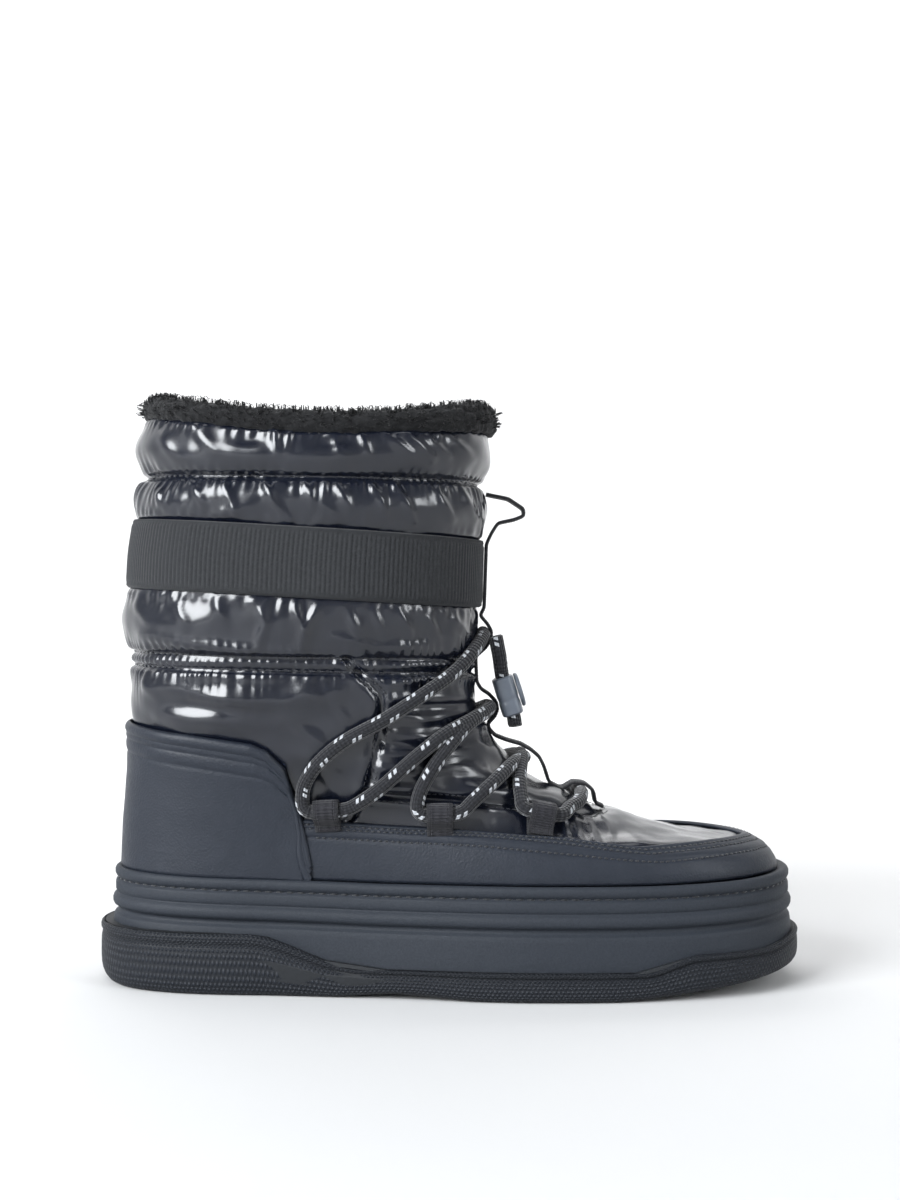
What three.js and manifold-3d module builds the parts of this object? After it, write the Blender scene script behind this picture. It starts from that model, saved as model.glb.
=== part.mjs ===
// Right winter boot: padded nylon upper, fur collar, cord lacing, thick cup sole.
// Millimetres. +X points to the toe, -Y to the outer side, +Z up.
// The boot stands on z = 0, with the origin under the middle of its box.
import * as THREE from 'three';
import { mergeVertices } from 'three/addons/utils/BufferGeometryUtils.js';
import Module from 'manifold-3d';

const wasm = await Module();
wasm.setup();

// Driving dimensions of the last and the sole
const soleLength = 280;
const ballWidth = 102;
const heelWidth = 80;
const waistPinch = 3;
const toeSwing = 4;
const instepHeight = 98;
const collarHeight = 218;
const collarDip = 6.5;
const shaftDepth = 140;
const shaftWidth = 104;
const upperWall = 3;
const quiltDepth = 1.1;

// Driving dimensions of the sole pieces
const rimHeight = 43;
const rimHeelRise = 2.5;
const rimToeRise = 1.8;
const cupHeelInset = 6.2;
const cupToeInset = 4.2;
const cupStep = 1.5;
const panelDrop = 18.6;
const outsoleFloor = 8;
const foxingHeelHeight = 23.6;
const foxingWaistHeight = 11.3;
const foxingToeHeight = 17.2;
const foxingTipRise = 3.3;
const toeSpring = 8.2;
const archLift = 1.8;
const lugDepth = 3.5;
const lugPitch = 16;
const lugGroove = 4.5;
const lugEdge = 9;
const lugColumn = 15;

// Driving dimensions of the pieces on the upper
const clearance = 0.3;
const leatherThickness = 1.6;
const bandThickness = 1.5;
const insoleThickness = 4;
const furThickness = 5;
const furStand = 8;
const furFrontRise = 3.5;
const furFrontLean = 0.6;
const furLockRadius = 3.6;
const furLockPitch = 16;
const webbingWidth = 10;
const webbingThickness = 1.3;
const loopThickness = 1.2;
const cordDiameter = 5.5;
const cordSides = 8;
const lockHeight = 17;
const lockWall = 1.1;
const lockCapRadius = 7;
const lockCapThickness = 1.8;

// Number of points round each section, the same for every piece so that neighbours line up
const around = 36;

const halfLength = soleLength / 2;
const cordRadius = cordDiameter / 2;

function lerp(a, b, share) {
  return a + (b - a) * share;
}

function clamp01(value) {
  return Math.min(1, Math.max(0, value));
}

function smooth(value, start, end) {
  const share = clamp01((value - start) / (end - start));
  return share * share * (3 - 2 * share);
}

// Half width of a foot-shaped section at a share of its length, -1 at the heel to 1 at the toe.
// The inner side, side 1, widens later than the outer side and is pinched at the waist.
function footHalfWidth(share, side, heelHalf, ballHalf, footness) {
  const widening = side > 0 ? smooth(share, -0.2, 0.5) : smooth(share, -0.55, 0.25);
  const pinch = (side > 0 ? waistPinch : 0.3 * waistPinch) * Math.exp(-(((share + 0.15) / 0.3) ** 2));
  return lerp(heelHalf, ballHalf, widening) - pinch * footness;
}

// One point of a closed outline, drawn by turning once from the toe by the inner side to the heel
function outlinePoint(turn, outline) {
  const share = Math.cos(turn);
  const side = Math.sin(turn) >= 0 ? 1 : -1;
  const middle = (outline.front + outline.back) / 2;
  const half = (outline.front - outline.back) / 2;
  const roundness = share > 0 ? outline.toeRound : outline.heelRound;
  const cap = Math.sqrt(Math.max(0, 1 - Math.abs(share) ** roundness));
  const width = footHalfWidth(share, side, outline.heelHalf, outline.ballHalf, outline.footness);
  const swing = toeSwing * outline.footness * smooth(share, 0.3, 1);
  return { x: middle + half * share, y: side * width * cap + swing, along: (share + 1) / 2 };
}

// Sections of the foot, from the board up to the instep. Lengths are shares of half the sole
// length, heights shares of the instep height and widths shares of half the ball width.
const footSections = [
  { back: -0.904, backUp: 0.316, front: 0.907, frontUp: 0.286, heel: 0.569, ball: 0.784, toe: 5.2, heelRound: 6 },
  { back: -0.921, backUp: 0.439, front: 0.929, frontUp: 0.439, heel: 0.598, ball: 0.814, toe: 5.2, heelRound: 6 },
  { back: -0.921, backUp: 0.510, front: 0.918, frontUp: 0.495, heel: 0.608, ball: 0.808, toe: 5.0, heelRound: 6 },
  { back: -0.919, backUp: 0.582, front: 0.893, frontUp: 0.530, heel: 0.614, ball: 0.784, toe: 4.7, heelRound: 6 },
  { back: -0.917, backUp: 0.643, front: 0.850, frontUp: 0.563, heel: 0.620, ball: 0.747, toe: 4.1, heelRound: 6 },
  { back: -0.914, backUp: 0.694, front: 0.771, frontUp: 0.577, heel: 0.627, ball: 0.708, toe: 3.5, heelRound: 5.8 },
  { back: -0.911, backUp: 0.745, front: 0.679, frontUp: 0.592, heel: 0.633, ball: 0.686, toe: 3.1, heelRound: 5.6 },
  { back: -0.909, backUp: 0.796, front: 0.571, frontUp: 0.624, heel: 0.641, ball: 0.680, toe: 2.9, heelRound: 5.2 },
  { back: -0.906, backUp: 0.857, front: 0.443, frontUp: 0.680, heel: 0.653, ball: 0.690, toe: 2.8, heelRound: 4.8 },
  { back: -0.905, backUp: 0.929, front: 0.314, frontUp: 0.757, heel: 0.673, ball: 0.716, toe: 2.7, heelRound: 4.3 },
  { back: -0.907, backUp: 1.000, front: 0.193, frontUp: 0.860, heel: 0.706, ball: 0.752, toe: 2.6, heelRound: 3.8 },
];

// Sections of the shaft, from the ankle to the collar. back is a share of half the sole length,
// depth of the shaft depth, heights of the way from instep to collar, width of the shaft width.
const shaftSections = [
  { back: -0.914, backUp: 0.067, depth: 1.021, frontUp: 0.004, width: 0.770, front: 2.6, rear: 3.4, dip: 0 },
  { back: -0.917, backUp: 0.142, depth: 0.992, frontUp: 0.108, width: 0.822, front: 2.5, rear: 3, dip: 0 },
  { back: -0.914, backUp: 0.250, depth: 0.982, frontUp: 0.225, width: 0.850, front: 2.4, rear: 2.8, dip: 0 },
  { back: -0.929, backUp: 0.358, depth: 1.000, frontUp: 0.329, width: 0.913, front: 2.4, rear: 2.8, dip: 0 },
  { back: -0.916, backUp: 0.483, depth: 0.995, frontUp: 0.417, width: 0.933, front: 2.4, rear: 2.8, dip: 0 },
  { back: -0.909, backUp: 0.600, depth: 0.991, frontUp: 0.525, width: 0.948, front: 2.4, rear: 2.8, dip: 0 },
  { back: -0.895, backUp: 0.708, depth: 0.981, frontUp: 0.642, width: 0.958, front: 2.4, rear: 2.8, dip: 0 },
  { back: -0.891, backUp: 0.775, depth: 0.988, frontUp: 0.738, width: 0.985, front: 2.4, rear: 2.8, dip: 0 },
  { back: -0.875, backUp: 0.842, depth: 0.964, frontUp: 0.825, width: 0.952, front: 2.4, rear: 2.8, dip: 0.15 },
  { back: -0.889, backUp: 0.942, depth: 1.000, frontUp: 0.913, width: 1.000, front: 2.4, rear: 2.8, dip: 0.6 },
  { back: -0.866, backUp: 1.042, depth: 0.966, frontUp: 1.000, width: 0.968, front: 2.4, rear: 2.8, dip: 1 },
];

// Rows of the body where something starts, ends or is sewn
const rimRow = 1;
const channelRow = 13;
const bandLowRow = 15;
const bandHighRow = 17;
const seamRow = 19;
const collarRow = 21;
const furFootRow = 18;
const channelHalf = 0.19;

// Sizes of one section of the body, in millimetres, in the order that they are interpolated
const sectionKeys = ['back', 'backZ', 'front', 'frontZ', 'heelHalf', 'ballHalf', 'toeRound', 'heelRound', 'footness', 'dip'];

function footSizes(row) {
  return {
    back: row.back * halfLength,
    backZ: row.backUp * instepHeight,
    front: row.front * halfLength,
    frontZ: row.frontUp * instepHeight,
    heelHalf: row.heel * ballWidth / 2,
    ballHalf: row.ball * ballWidth / 2,
    toeRound: row.toe,
    heelRound: row.heelRound,
    footness: clamp01((1.02 - row.backUp) / 0.3),
    dip: 0,
  };
}

function shaftSizes(row) {
  const rise = collarHeight - instepHeight;
  return {
    back: row.back * halfLength,
    backZ: instepHeight + row.backUp * rise,
    front: row.back * halfLength + row.depth * shaftDepth,
    frontZ: instepHeight + row.frontUp * rise,
    heelHalf: row.width * shaftWidth / 2,
    ballHalf: row.width * shaftWidth / 2,
    toeRound: row.front,
    heelRound: row.rear,
    footness: 0,
    dip: row.dip * collarDip,
  };
}

const sections = [...footSections.map(footSizes), ...shaftSections.map(shaftSizes)];

// The section at any row, whole or in between, on a smooth curve through the tables
function sectionAt(row) {
  const last = sections.length - 1;
  const low = Math.min(last - 1, Math.max(0, Math.floor(row)));
  const share = row - low;
  const a = sections[Math.max(0, low - 1)];
  const b = sections[low];
  const c = sections[low + 1];
  const d = sections[Math.min(last, low + 2)];
  const section = {};
  for (const key of sectionKeys) {
    const bend = 2 * b[key] + (c[key] - a[key]) * share
      + (2 * a[key] - 5 * b[key] + 4 * c[key] - d[key]) * share ** 2
      + (3 * b[key] - a[key] - 3 * c[key] + d[key]) * share ** 3;
    section[key] = bend / 2;
  }
  return section;
}

// The padded wall's outer face before any overlay
function bodyPoint(turn, row) {
  const section = sectionAt(row);
  const point = outlinePoint(turn, section);
  const z = lerp(section.backZ, section.frontZ, point.along) - section.dip * Math.sin(turn) ** 2;
  return new THREE.Vector3(point.x, point.y, z);
}

// The same face moved out along its normal, or in where the distance is negative
function bodyOffset(turn, row, distance) {
  const step = 0.01;
  const across = bodyPoint(turn + step, row).sub(bodyPoint(turn - step, row));
  const rowLow = Math.max(0, row - step);
  const rowHigh = Math.min(collarRow, row + step);
  const up = bodyPoint(turn, rowHigh).sub(bodyPoint(turn, rowLow));
  const normal = across.cross(up).normalize();
  return bodyPoint(turn, row).addScaledVector(normal, distance);
}

// The point of the body at a given length and height, on side 1 (inner) or -1 (outer)
function bodyAt(x, z, side, distance) {
  let low = 0;
  let high = collarRow;
  for (let step = 0; step < 40; step += 1) {
    const row = (low + high) / 2;
    const section = sectionAt(row);
    const half = (section.front - section.back) / 2;
    const share = (x - section.back - half) / half;
    const height = lerp(section.backZ, section.frontZ, (share + 1) / 2);
    if (share < 1 && height < z) {
      low = row;
    } else {
      high = row;
    }
  }
  const section = sectionAt(low);
  const half = (section.front - section.back) / 2;
  const share = Math.min(1, (x - section.back - half) / half);
  return bodyOffset(side * Math.acos(share), low, distance);
}

function ring(pointAt) {
  const points = [];
  for (let index = 0; index < around; index += 1) {
    points.push(pointAt((index / around) * 2 * Math.PI));
  }
  return points;
}

function meshGeometry(vertices, triangles) {
  const geometry = new THREE.BufferGeometry();
  geometry.setAttribute('position', new THREE.Float32BufferAttribute(vertices, 3));
  geometry.setIndex(triangles);
  return geometry;
}

// Six times the enclosed volume, negative when the faces point inwards
function signedVolume(points, triangles) {
  let sum = 0;
  for (let index = 0; index < triangles.length; index += 3) {
    const [a, b, c] = [points[triangles[index]], points[triangles[index + 1]], points[triangles[index + 2]]];
    sum += a.dot(new THREE.Vector3().crossVectors(b, c));
  }
  return sum;
}

// Skin through a stack of rings. A tube joins its last ring to its first; otherwise each end
// is closed by strips laid across from side to side, so that it follows the ring's own height.
function loft(rings, tube = false) {
  const points = rings.flat();
  const triangles = [];
  const quad = (a, b, c, d) => triangles.push(a, b, c, a, c, d);
  const bands = tube ? rings.length : rings.length - 1;
  for (let level = 0; level < bands; level += 1) {
    const lower = level * around;
    const upper = ((level + 1) % rings.length) * around;
    for (let index = 0; index < around; index += 1) {
      const next = (index + 1) % around;
      quad(lower + index, lower + next, upper + next, upper + index);
    }
  }
  if (!tube) {
    const top = (rings.length - 1) * around;
    for (let index = 0; index < around / 2; index += 1) {
      const mirror = (around - index) % around;
      const mirrorNext = around - index - 1;
      quad(mirror, mirrorNext, index + 1, index);
      quad(top + index, top + index + 1, top + mirrorNext, top + mirror);
    }
  }
  if (signedVolume(points, triangles) < 0) {
    triangles.reverse();
  }
  const bare = meshGeometry(points.flatMap((point) => point.toArray()), triangles);
  return geometryFrom(solidFrom(bare));
}

// A closed mesh as a solid that can be cut and joined
function solidFrom(geometry) {
  const bare = geometry.clone();
  bare.deleteAttribute('normal');
  bare.deleteAttribute('uv');
  const merged = mergeVertices(bare, 1e-4);
  const vertProperties = new Float32Array(merged.attributes.position.array);
  const triVerts = new Uint32Array(merged.index.array);
  return new wasm.Manifold(new wasm.Mesh({ numProp: 3, vertProperties, triVerts }));
}

function geometryFrom(solid) {
  const mesh = solid.getMesh();
  const geometry = meshGeometry(Array.from(mesh.vertProperties), Array.from(mesh.triVerts));
  geometry.computeVertexNormals();
  return geometry;
}

// Side view outline, a list of [x, z], pulled out across the whole boot or a stated width
function sidePrism(outline, width = 3 * ballWidth) {
  const shape = new THREE.Shape(outline.map(([x, z]) => new THREE.Vector2(x, z)));
  const prism = new THREE.ExtrudeGeometry(shape, { depth: width, bevelEnabled: false });
  prism.rotateX(Math.PI / 2);
  prism.translate(0, width / 2, 0);
  return prism;
}

// Outline of the sole, moved in along its own normal
function solePoint(turn, inset, z) {
  const outline = {
    back: -halfLength,
    front: halfLength,
    heelHalf: heelWidth / 2,
    ballHalf: ballWidth / 2,
    toeRound: 5.2,
    heelRound: 5.6,
    footness: 1,
  };
  const step = 0.01;
  const here = outlinePoint(turn, outline);
  const before = outlinePoint(turn - step, outline);
  const after = outlinePoint(turn + step, outline);
  const length = Math.hypot(after.x - before.x, after.y - before.y);
  const x = here.x - inset * (after.y - before.y) / length;
  const y = here.y + inset * (after.x - before.x) / length;
  return new THREE.Vector3(x, y, typeof z === 'function' ? z(x) : z);
}

// Stations of the side view, as shares of half the sole length
const heelFlatEnd = -0.36;
const foreFlatStart = 0.1;
const foreFlatEnd = 0.44;

// Height of the tread's face above the floor: flat heel, lifted arch, flat forefoot, toe spring
function groundLift(x) {
  const share = x / halfLength;
  if (share > heelFlatEnd && share < foreFlatStart) {
    return archLift * Math.sin(Math.PI * (share - heelFlatEnd) / (foreFlatStart - heelFlatEnd)) ** 2;
  }
  return toeSpring * clamp01((share - foreFlatEnd) / (1 - foreFlatEnd)) ** 1.25;
}

// Top line of the cup, raised at both ends
function rimLine(x) {
  const share = x / halfLength;
  return rimHeight + rimHeelRise * clamp01((-share - 0.2) / 0.8) + rimToeRise * clamp01((share - 0.5) / 0.5) ** 1.6;
}

// Top line of the rubber foxing: high at the heel, low at the waist, raised at the toe
function foxingLine(x) {
  const share = x / halfLength;
  const heel = (foxingHeelHeight - foxingWaistHeight) * (1 - smooth(share, -0.56, -0.24));
  const toe = (foxingToeHeight - foxingWaistHeight) * smooth(share, 0.52, 0.68);
  return foxingWaistHeight + heel + toe + foxingTipRise * smooth(share, 0.86, 1);
}

// Inset of the cup's bead from the sole outline, smaller towards the toe
function cupInset(turn) {
  return lerp(cupToeInset, cupHeelInset, (1 - Math.cos(turn)) / 2);
}

// Share of the way up the cup's smooth panel
function panelShare(x, z) {
  const foot = groundLift(x) + outsoleFloor + clearance;
  return (z - foot) / (rimLine(x) - panelDrop - foot);
}

// A point of the smooth panel, which leans in as it rises
function panelPoint(turn, share, out, z) {
  return solePoint(turn, cupInset(turn) - lerp(2.1, 1.1, share) - out, z);
}

// Steps of the cup's side, down from the rim in shares of the panel's drop, out in cup steps
const cupSteps = [
  { name: 'bead top', down: 0.03, out: 0.1 },
  { name: 'bead', down: 0.13, out: 0.5 },
  { name: 'bead foot', down: 0.24, out: 0.1 },
  { name: 'stitch groove', down: 0.27, out: -0.4 },
  { name: 'band top', down: 0.3, out: 0.25 },
  { name: 'band foot', down: 0.52, out: 0.35 },
  { name: 'ridge groove', down: 0.55, out: -0.1 },
  { name: 'ridge', down: 0.7, out: 1.1 },
  { name: 'ridge foot', down: 0.84, out: 0.7 },
  { name: 'dark groove top', down: 0.87, out: -0.3 },
  { name: 'dark groove foot', down: 0.96, out: -0.3 },
];

function makeMidsole() {
  const rings = [];
  const footZ = (x) => groundLift(x) + outsoleFloor + clearance;
  const panelTop = (x) => rimLine(x) - panelDrop;
  rings.push(ring((turn) => panelPoint(turn, 0, 0, footZ)));
  rings.push(ring((turn) => panelPoint(turn, 1, 0, panelTop)));
  for (const step of [...cupSteps].reverse()) {
    const z = (x) => rimLine(x) - step.down * panelDrop;
    rings.push(ring((turn) => solePoint(turn, cupInset(turn) - step.out * cupStep, z)));
  }
  rings.push(ring((turn) => solePoint(turn, cupInset(turn) + 0.5 * cupStep, rimLine)));
  const cavity = (row) => (turn) => bodyOffset(turn, row, clearance);
  rings.push(ring((turn) => {
    const point = cavity(rimRow + 0.15)(turn);
    return point.setZ(rimLine(point.x) - 0.5);
  }));
  rings.push(ring(cavity(rimRow)));
  rings.push(ring(cavity(rimRow / 2)));
  rings.push(ring((turn) => {
    const point = cavity(0)(turn);
    return point.setZ(bodyPoint(turn, 0).z - clearance);
  }));
  return loft(rings);
}

// Steps of the foxing's side, up in shares of its height, in as shares of the edge rounding
const edgeRounding = 3.8;
const foxingSteps = [
  { name: 'tread edge', up: 0, inset: 1 },
  { name: 'edge round', up: 0.1, inset: 0.35 },
  { name: 'wall foot', up: 0.3, inset: 0.05 },
  { name: 'wall', up: 0.62, inset: 0 },
  { name: 'rim foot', up: 0.84, inset: 0.3 },
  { name: 'rim', up: 0.9, inset: 0.05 },
  { name: 'rim top', up: 1, inset: 0.2 },
];

function makeTreadGrooves() {
  const field = loft([
    ring((turn) => solePoint(turn, lugEdge, -lugDepth)),
    ring((turn) => solePoint(turn, lugEdge, (x) => groundLift(x) + lugDepth)),
  ]);
  const bar = new THREE.BoxGeometry(lugGroove, ballWidth, 4 * lugDepth + 2 * toeSpring);
  const column = new THREE.BoxGeometry(soleLength, lugGroove * 0.8, 4 * lugDepth + 2 * toeSpring);
  const inner = solidFrom(column.clone().translate(0, lugColumn, 0));
  let grooves = inner.add(solidFrom(column.translate(0, -lugColumn, 0)));
  const heelPad = (-1 + heelFlatEnd) / 2 * halfLength;
  const forePad = (foreFlatStart + foreFlatEnd) / 2 * halfLength;
  const starts = [
    { pad: heelPad, from: -2, to: 2 },
    { pad: forePad, from: -2, to: 5 },
  ];
  for (const zone of starts) {
    for (let step = zone.from; step <= zone.to; step += 1) {
      const x = zone.pad + (step - 0.5) * lugPitch;
      grooves = grooves.add(solidFrom(bar.clone().translate(x, 0, 0)));
    }
  }
  return grooves.intersect(solidFrom(field));
}

// Round of the tread behind the heel's flat: share of half the sole length, height
const heelBevel = [[-1.05, 9], [-0.985, 4.6], [-0.955, 1.6], [-0.915, 0]];

// The side view below which nothing of the sole reaches, with exactly flat heel and forefoot
function groundOutline() {
  const outline = heelBevel.map(([x, z]) => [x * halfLength, z]);
  const archPoints = 6;
  for (let step = 0; step <= archPoints; step += 1) {
    const x = lerp(heelFlatEnd, foreFlatStart, step / archPoints) * halfLength;
    outline.push([x, groundLift(x)]);
  }
  const springPoints = 5;
  for (let step = 0; step <= springPoints; step += 1) {
    const x = lerp(foreFlatEnd, 1.02, step / springPoints) * halfLength;
    outline.push([x, groundLift(x)]);
  }
  outline.push([1.2 * halfLength, 2 * rimHeight], [-1.2 * halfLength, 2 * rimHeight]);
  return outline;
}

function makeOutsole() {
  const rings = [];
  const below = (x) => groundLift(x) - edgeRounding;
  rings.push(ring((turn) => solePoint(turn, 1.6 * edgeRounding, below)));
  for (const step of foxingSteps) {
    const z = (x) => lerp(groundLift(x), foxingLine(x), step.up);
    rings.push(ring((turn) => solePoint(turn, step.inset * edgeRounding, z)));
  }
  const inner = (z) => (turn) => {
    const near = solePoint(turn, cupInset(turn), z);
    return panelPoint(turn, panelShare(near.x, near.z), clearance, z);
  };
  const floor = (x) => groundLift(x) + outsoleFloor;
  rings.push(ring(inner(foxingLine)));
  rings.push(ring(inner(floor)));
  const block = solidFrom(loft(rings));
  const standing = block.intersect(solidFrom(sidePrism(groundOutline())));
  return geometryFrom(standing.subtract(makeTreadGrooves()));
}

// Quilt stitching pulls the padded wall in along the seam and the two lines of the channel
function quiltPull(row) {
  const lines = [channelRow - channelHalf, channelRow + channelHalf, seamRow];
  return lines.reduce((pull, line) => pull - quiltDepth * Math.exp(-(((row - line) / 0.12) ** 2)), 0);
}

const outerRows = [
  0, 1, 2, 3, 4, 5, 6, 7, 8, 9, 10, 11, 12, 12.81, 13, 13.19, 14, 15, 17, 18, 18.75, 19, 19.25, 20, 21,
];
const innerRows = [21, 20, 19, 18, 17, 15, 13, 11, 9.5, 8, 6.5, 5, 4, 3, 2, 1, 0];

function makeUpper() {
  const rings = [];
  for (const row of outerRows) {
    rings.push(ring((turn) => bodyOffset(turn, row, quiltPull(row))));
  }
  for (const row of innerRows) {
    rings.push(ring((turn) => bodyOffset(turn, row, -upperWall)));
  }
  return loft(rings, true);
}

function makeInsole() {
  const edge = upperWall + clearance;
  const rise = insoleThickness / (bodyPoint(Math.PI, 1).z - bodyPoint(Math.PI, 0).z);
  const low = ring((turn) => bodyOffset(turn, 0, -edge));
  const high = ring((turn) => bodyOffset(turn, rise, -edge));
  return loft([low, high]);
}

// Solid filled by the body between two rows, moved out by a distance
function bodyFill(rows, distance) {
  return solidFrom(loft(rows.map((row) => ring((turn) => bodyOffset(turn, row, distance)))));
}

const overlayRows = outerRows.filter((row) => row <= channelRow);

// Shell over the body, inside a side view outline
function overlay(outline, thickness) {
  const shell = bodyFill(overlayRows, clearance + thickness).subtract(bodyFill(overlayRows, clearance));
  return shell.intersect(solidFrom(sidePrism(outline)));
}

// Edges of the leather overlays in side view, shares of half the sole length and instep height
const counterEdge = [
  [-0.72, 1.012], [-0.543, 0.977], [-0.504, 0.953], [-0.457, 0.884], [-0.436, 0.796], [-0.412, 0.694],
  [-0.39, 0.565], [-0.379, 0.47],
];
const mudguardEdge = [
  [-0.45, 0.684], [-0.307, 0.673], [-0.179, 0.66], [-0.086, 0.653], [0.026, 0.643], [0.279, 0.607],
  [0.514, 0.571], [0.64, 0.574], [0.72, 0.5735], [0.8, 0.571], [0.857, 0.567], [1.02, 0.55],
];

function scaled(edge) {
  return edge.map(([x, z]) => [x * halfLength, z * instepHeight]);
}

// Foot of an overlay, just above the cup's rim
function rimFoot(from, to) {
  const steps = 8;
  const foot = [];
  for (let step = 0; step <= steps; step += 1) {
    const x = lerp(from, to, step / steps) * halfLength;
    foot.push([x, rimLine(x) + clearance]);
  }
  return foot;
}

// Side view outline behind the counter's front edge, down to a given line
function counterOutline(foot) {
  return [...foot, ...scaled(counterEdge).reverse(), [-1.1 * halfLength, 1.05 * instepHeight]];
}

function makeCounter() {
  return geometryFrom(overlay(counterOutline(rimFoot(-1.1, -0.38)), leatherThickness));
}

function makeMudguard() {
  const outline = [...rimFoot(-0.45, 1.1), ...scaled(mudguardEdge).reverse()];
  const floor = [[-1.1 * halfLength, 0], [-0.375 * halfLength, 0]];
  const joint = sidePrism(counterOutline(floor)).translate(1.2 * clearance, 0, 0);
  return geometryFrom(overlay(outline, leatherThickness).subtract(solidFrom(joint)));
}

// Grosgrain band round the shaft
function makeBand() {
  const face = clearance + bandThickness;
  return loft([
    ring((turn) => bodyOffset(turn, bandLowRow, face)),
    ring((turn) => bodyOffset(turn, bandHighRow, face)),
    ring((turn) => bodyOffset(turn, bandHighRow, clearance)),
    ring((turn) => bodyOffset(turn, bandLowRow, clearance)),
  ], true);
}

// How far a turn faces the front, 0 at the sides and back, 1 at the toe side
function frontness(turn) {
  return Math.max(0, Math.cos(turn)) ** 3;
}

// Section of the fur: in from the nylon's face in fur thicknesses and up from the collar's edge in
// shares of the stand; the part below the edge lines the mouth
const furSection = [
  { name: 'over the edge', out: 0, up: 0.06 },
  { name: 'outer roll', out: 0.16, up: 0.4 },
  { name: 'outer crown', out: -0.12, up: 0.8 },
  { name: 'crown', out: -0.72, up: 0.94 },
  { name: 'inner crown', out: -1.4, up: 0.72 },
  { name: 'inner face', out: -1.72, up: 0 },
];

function furPoint(turn, out, up) {
  const point = bodyOffset(turn, collarRow, (out + furFrontLean * frontness(turn) * clamp01(1 + out)) * furThickness);
  const stand = furStand + furFrontRise * frontness(turn);
  return point.setZ(bodyPoint(turn, collarRow).z + up * stand);
}

function makeFurCollar() {
  const wallFace = -(upperWall + clearance);
  const liningFace = wallFace - furThickness;
  const lining = (face, row) => ring((turn) => bodyOffset(turn, row, face));
  const rings = furSection.map((step) => ring((turn) => furPoint(turn, step.out, step.up)));
  rings.push(lining(liningFace, furFootRow + 1), lining(liningFace, furFootRow));
  rings.push(lining(wallFace, furFootRow), lining(wallFace, furFootRow + 1));
  rings.push(lining(wallFace, furFootRow + 2), lining(wallFace, collarRow));
  rings.push(ring((turn) => furPoint(turn, wallFace / furThickness, 0.06)));
  let fur = solidFrom(loft(rings, true));
  const count = Math.round(2 * (shaftDepth + shaftWidth) * 0.8 / furLockPitch);
  const blob = new THREE.OctahedronGeometry(furLockRadius, 0);
  const lockRows = [
    { out: -0.1, up: 0.52, shift: 0 },
    { out: -0.75, up: 0.76, shift: 0.5 },
  ];
  for (const row of lockRows) {
    for (let index = 0; index < count; index += 1) {
      const turn = ((index + row.shift) / count) * 2 * Math.PI;
      const place = furPoint(turn, row.out, row.up);
      const tuft = blob.clone().rotateZ(turn * 3).translate(place.x, place.y, place.z);
      fur = fur.add(solidFrom(tuft));
    }
  }
  return geometryFrom(fur);
}

// Route of the front webbing over the crest: the body's row and the lift of its middle line
// in cord diameters. It lies flat where it is sewn and bulges over the four cord passages.
const webbingRoute = [
  { name: 'lower end', row: 8.02, lift: 0 },
  { name: 'below bar', row: 8.2, lift: 0.04 },
  { name: 'bar rise', row: 8.34, lift: 0.86 },
  { name: 'bar', row: 8.58, lift: 1.12 },
  { name: 'bar fall', row: 8.82, lift: 0.86 },
  { name: 'above bar', row: 8.97, lift: 0.04 },
  { name: 'sewn', row: 9.25, lift: 0.04 },
  { name: 'lower crossing rise', row: 9.5, lift: 0.9 },
  { name: 'lower crossing', row: 9.72, lift: 1.34 },
  { name: 'lower crossing top', row: 10.0, lift: 1.4 },
  { name: 'lower crossing fall', row: 10.28, lift: 1.2 },
  { name: 'lower crossing foot', row: 10.56, lift: 0.6 },
  { name: 'sewn', row: 10.8, lift: 0.12 },
  { name: 'sewn', row: 11, lift: 0.03 },
  { name: 'sewn', row: 11.15, lift: 0.12 },
  { name: 'middle crossing rise', row: 11.28, lift: 0.85 },
  { name: 'middle crossing', row: 11.5, lift: 1.22 },
  { name: 'middle crossing top', row: 11.8, lift: 1.24 },
  { name: 'middle crossing fall', row: 12.1, lift: 0.85 },
  { name: 'middle crossing foot', row: 12.3, lift: 0.3 },
  { name: 'sewn', row: 12.5, lift: 0.04 },
  { name: 'sewn', row: 13.25, lift: 0 },
  { name: 'top passage rise', row: 13.55, lift: 0.72 },
  { name: 'top passage', row: 13.85, lift: 1.06 },
  { name: 'top passage', row: 14.15, lift: 1.06 },
  { name: 'top passage fall', row: 14.42, lift: 0.72 },
  { name: 'sewn', row: 14.72, lift: 0.1 },
  { name: 'over the band', row: 15.0, lift: 0.34 },
  { name: 'over the band', row: 16.9, lift: 0.34 },
  { name: 'pull loop foot', row: 17.3, lift: 0.62 },
  { name: 'pull loop low side', row: 17.66, lift: 0.95 },
  { name: 'pull loop low side', row: 17.82, lift: 2.1 },
  { name: 'pull loop tip', row: 17.93, lift: 2.8 },
  { name: 'pull loop tip', row: 18.06, lift: 2.75 },
  { name: 'pull loop top side', row: 18.33, lift: 1.7 },
  { name: 'pull loop top side', row: 18.56, lift: 0.55 },
  { name: 'pull loop root', row: 18.66, lift: 0.12 },
];

// A strip of webbing stood on edge along a line in the side view
function ribbon(line, width) {
  const half = webbingThickness / 2;
  const faces = [1, -1].map((side) => line.map((point, index) => {
    const before = line[Math.max(0, index - 1)];
    const after = line[Math.min(line.length - 1, index + 1)];
    const length = Math.hypot(after.x - before.x, after.z - before.z);
    const x = point.x + side * half * (after.z - before.z) / length;
    const z = point.z - side * half * (after.x - before.x) / length;
    return [x, z];
  }));
  return sidePrism([...faces[0], ...faces[1].reverse()], width);
}

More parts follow.
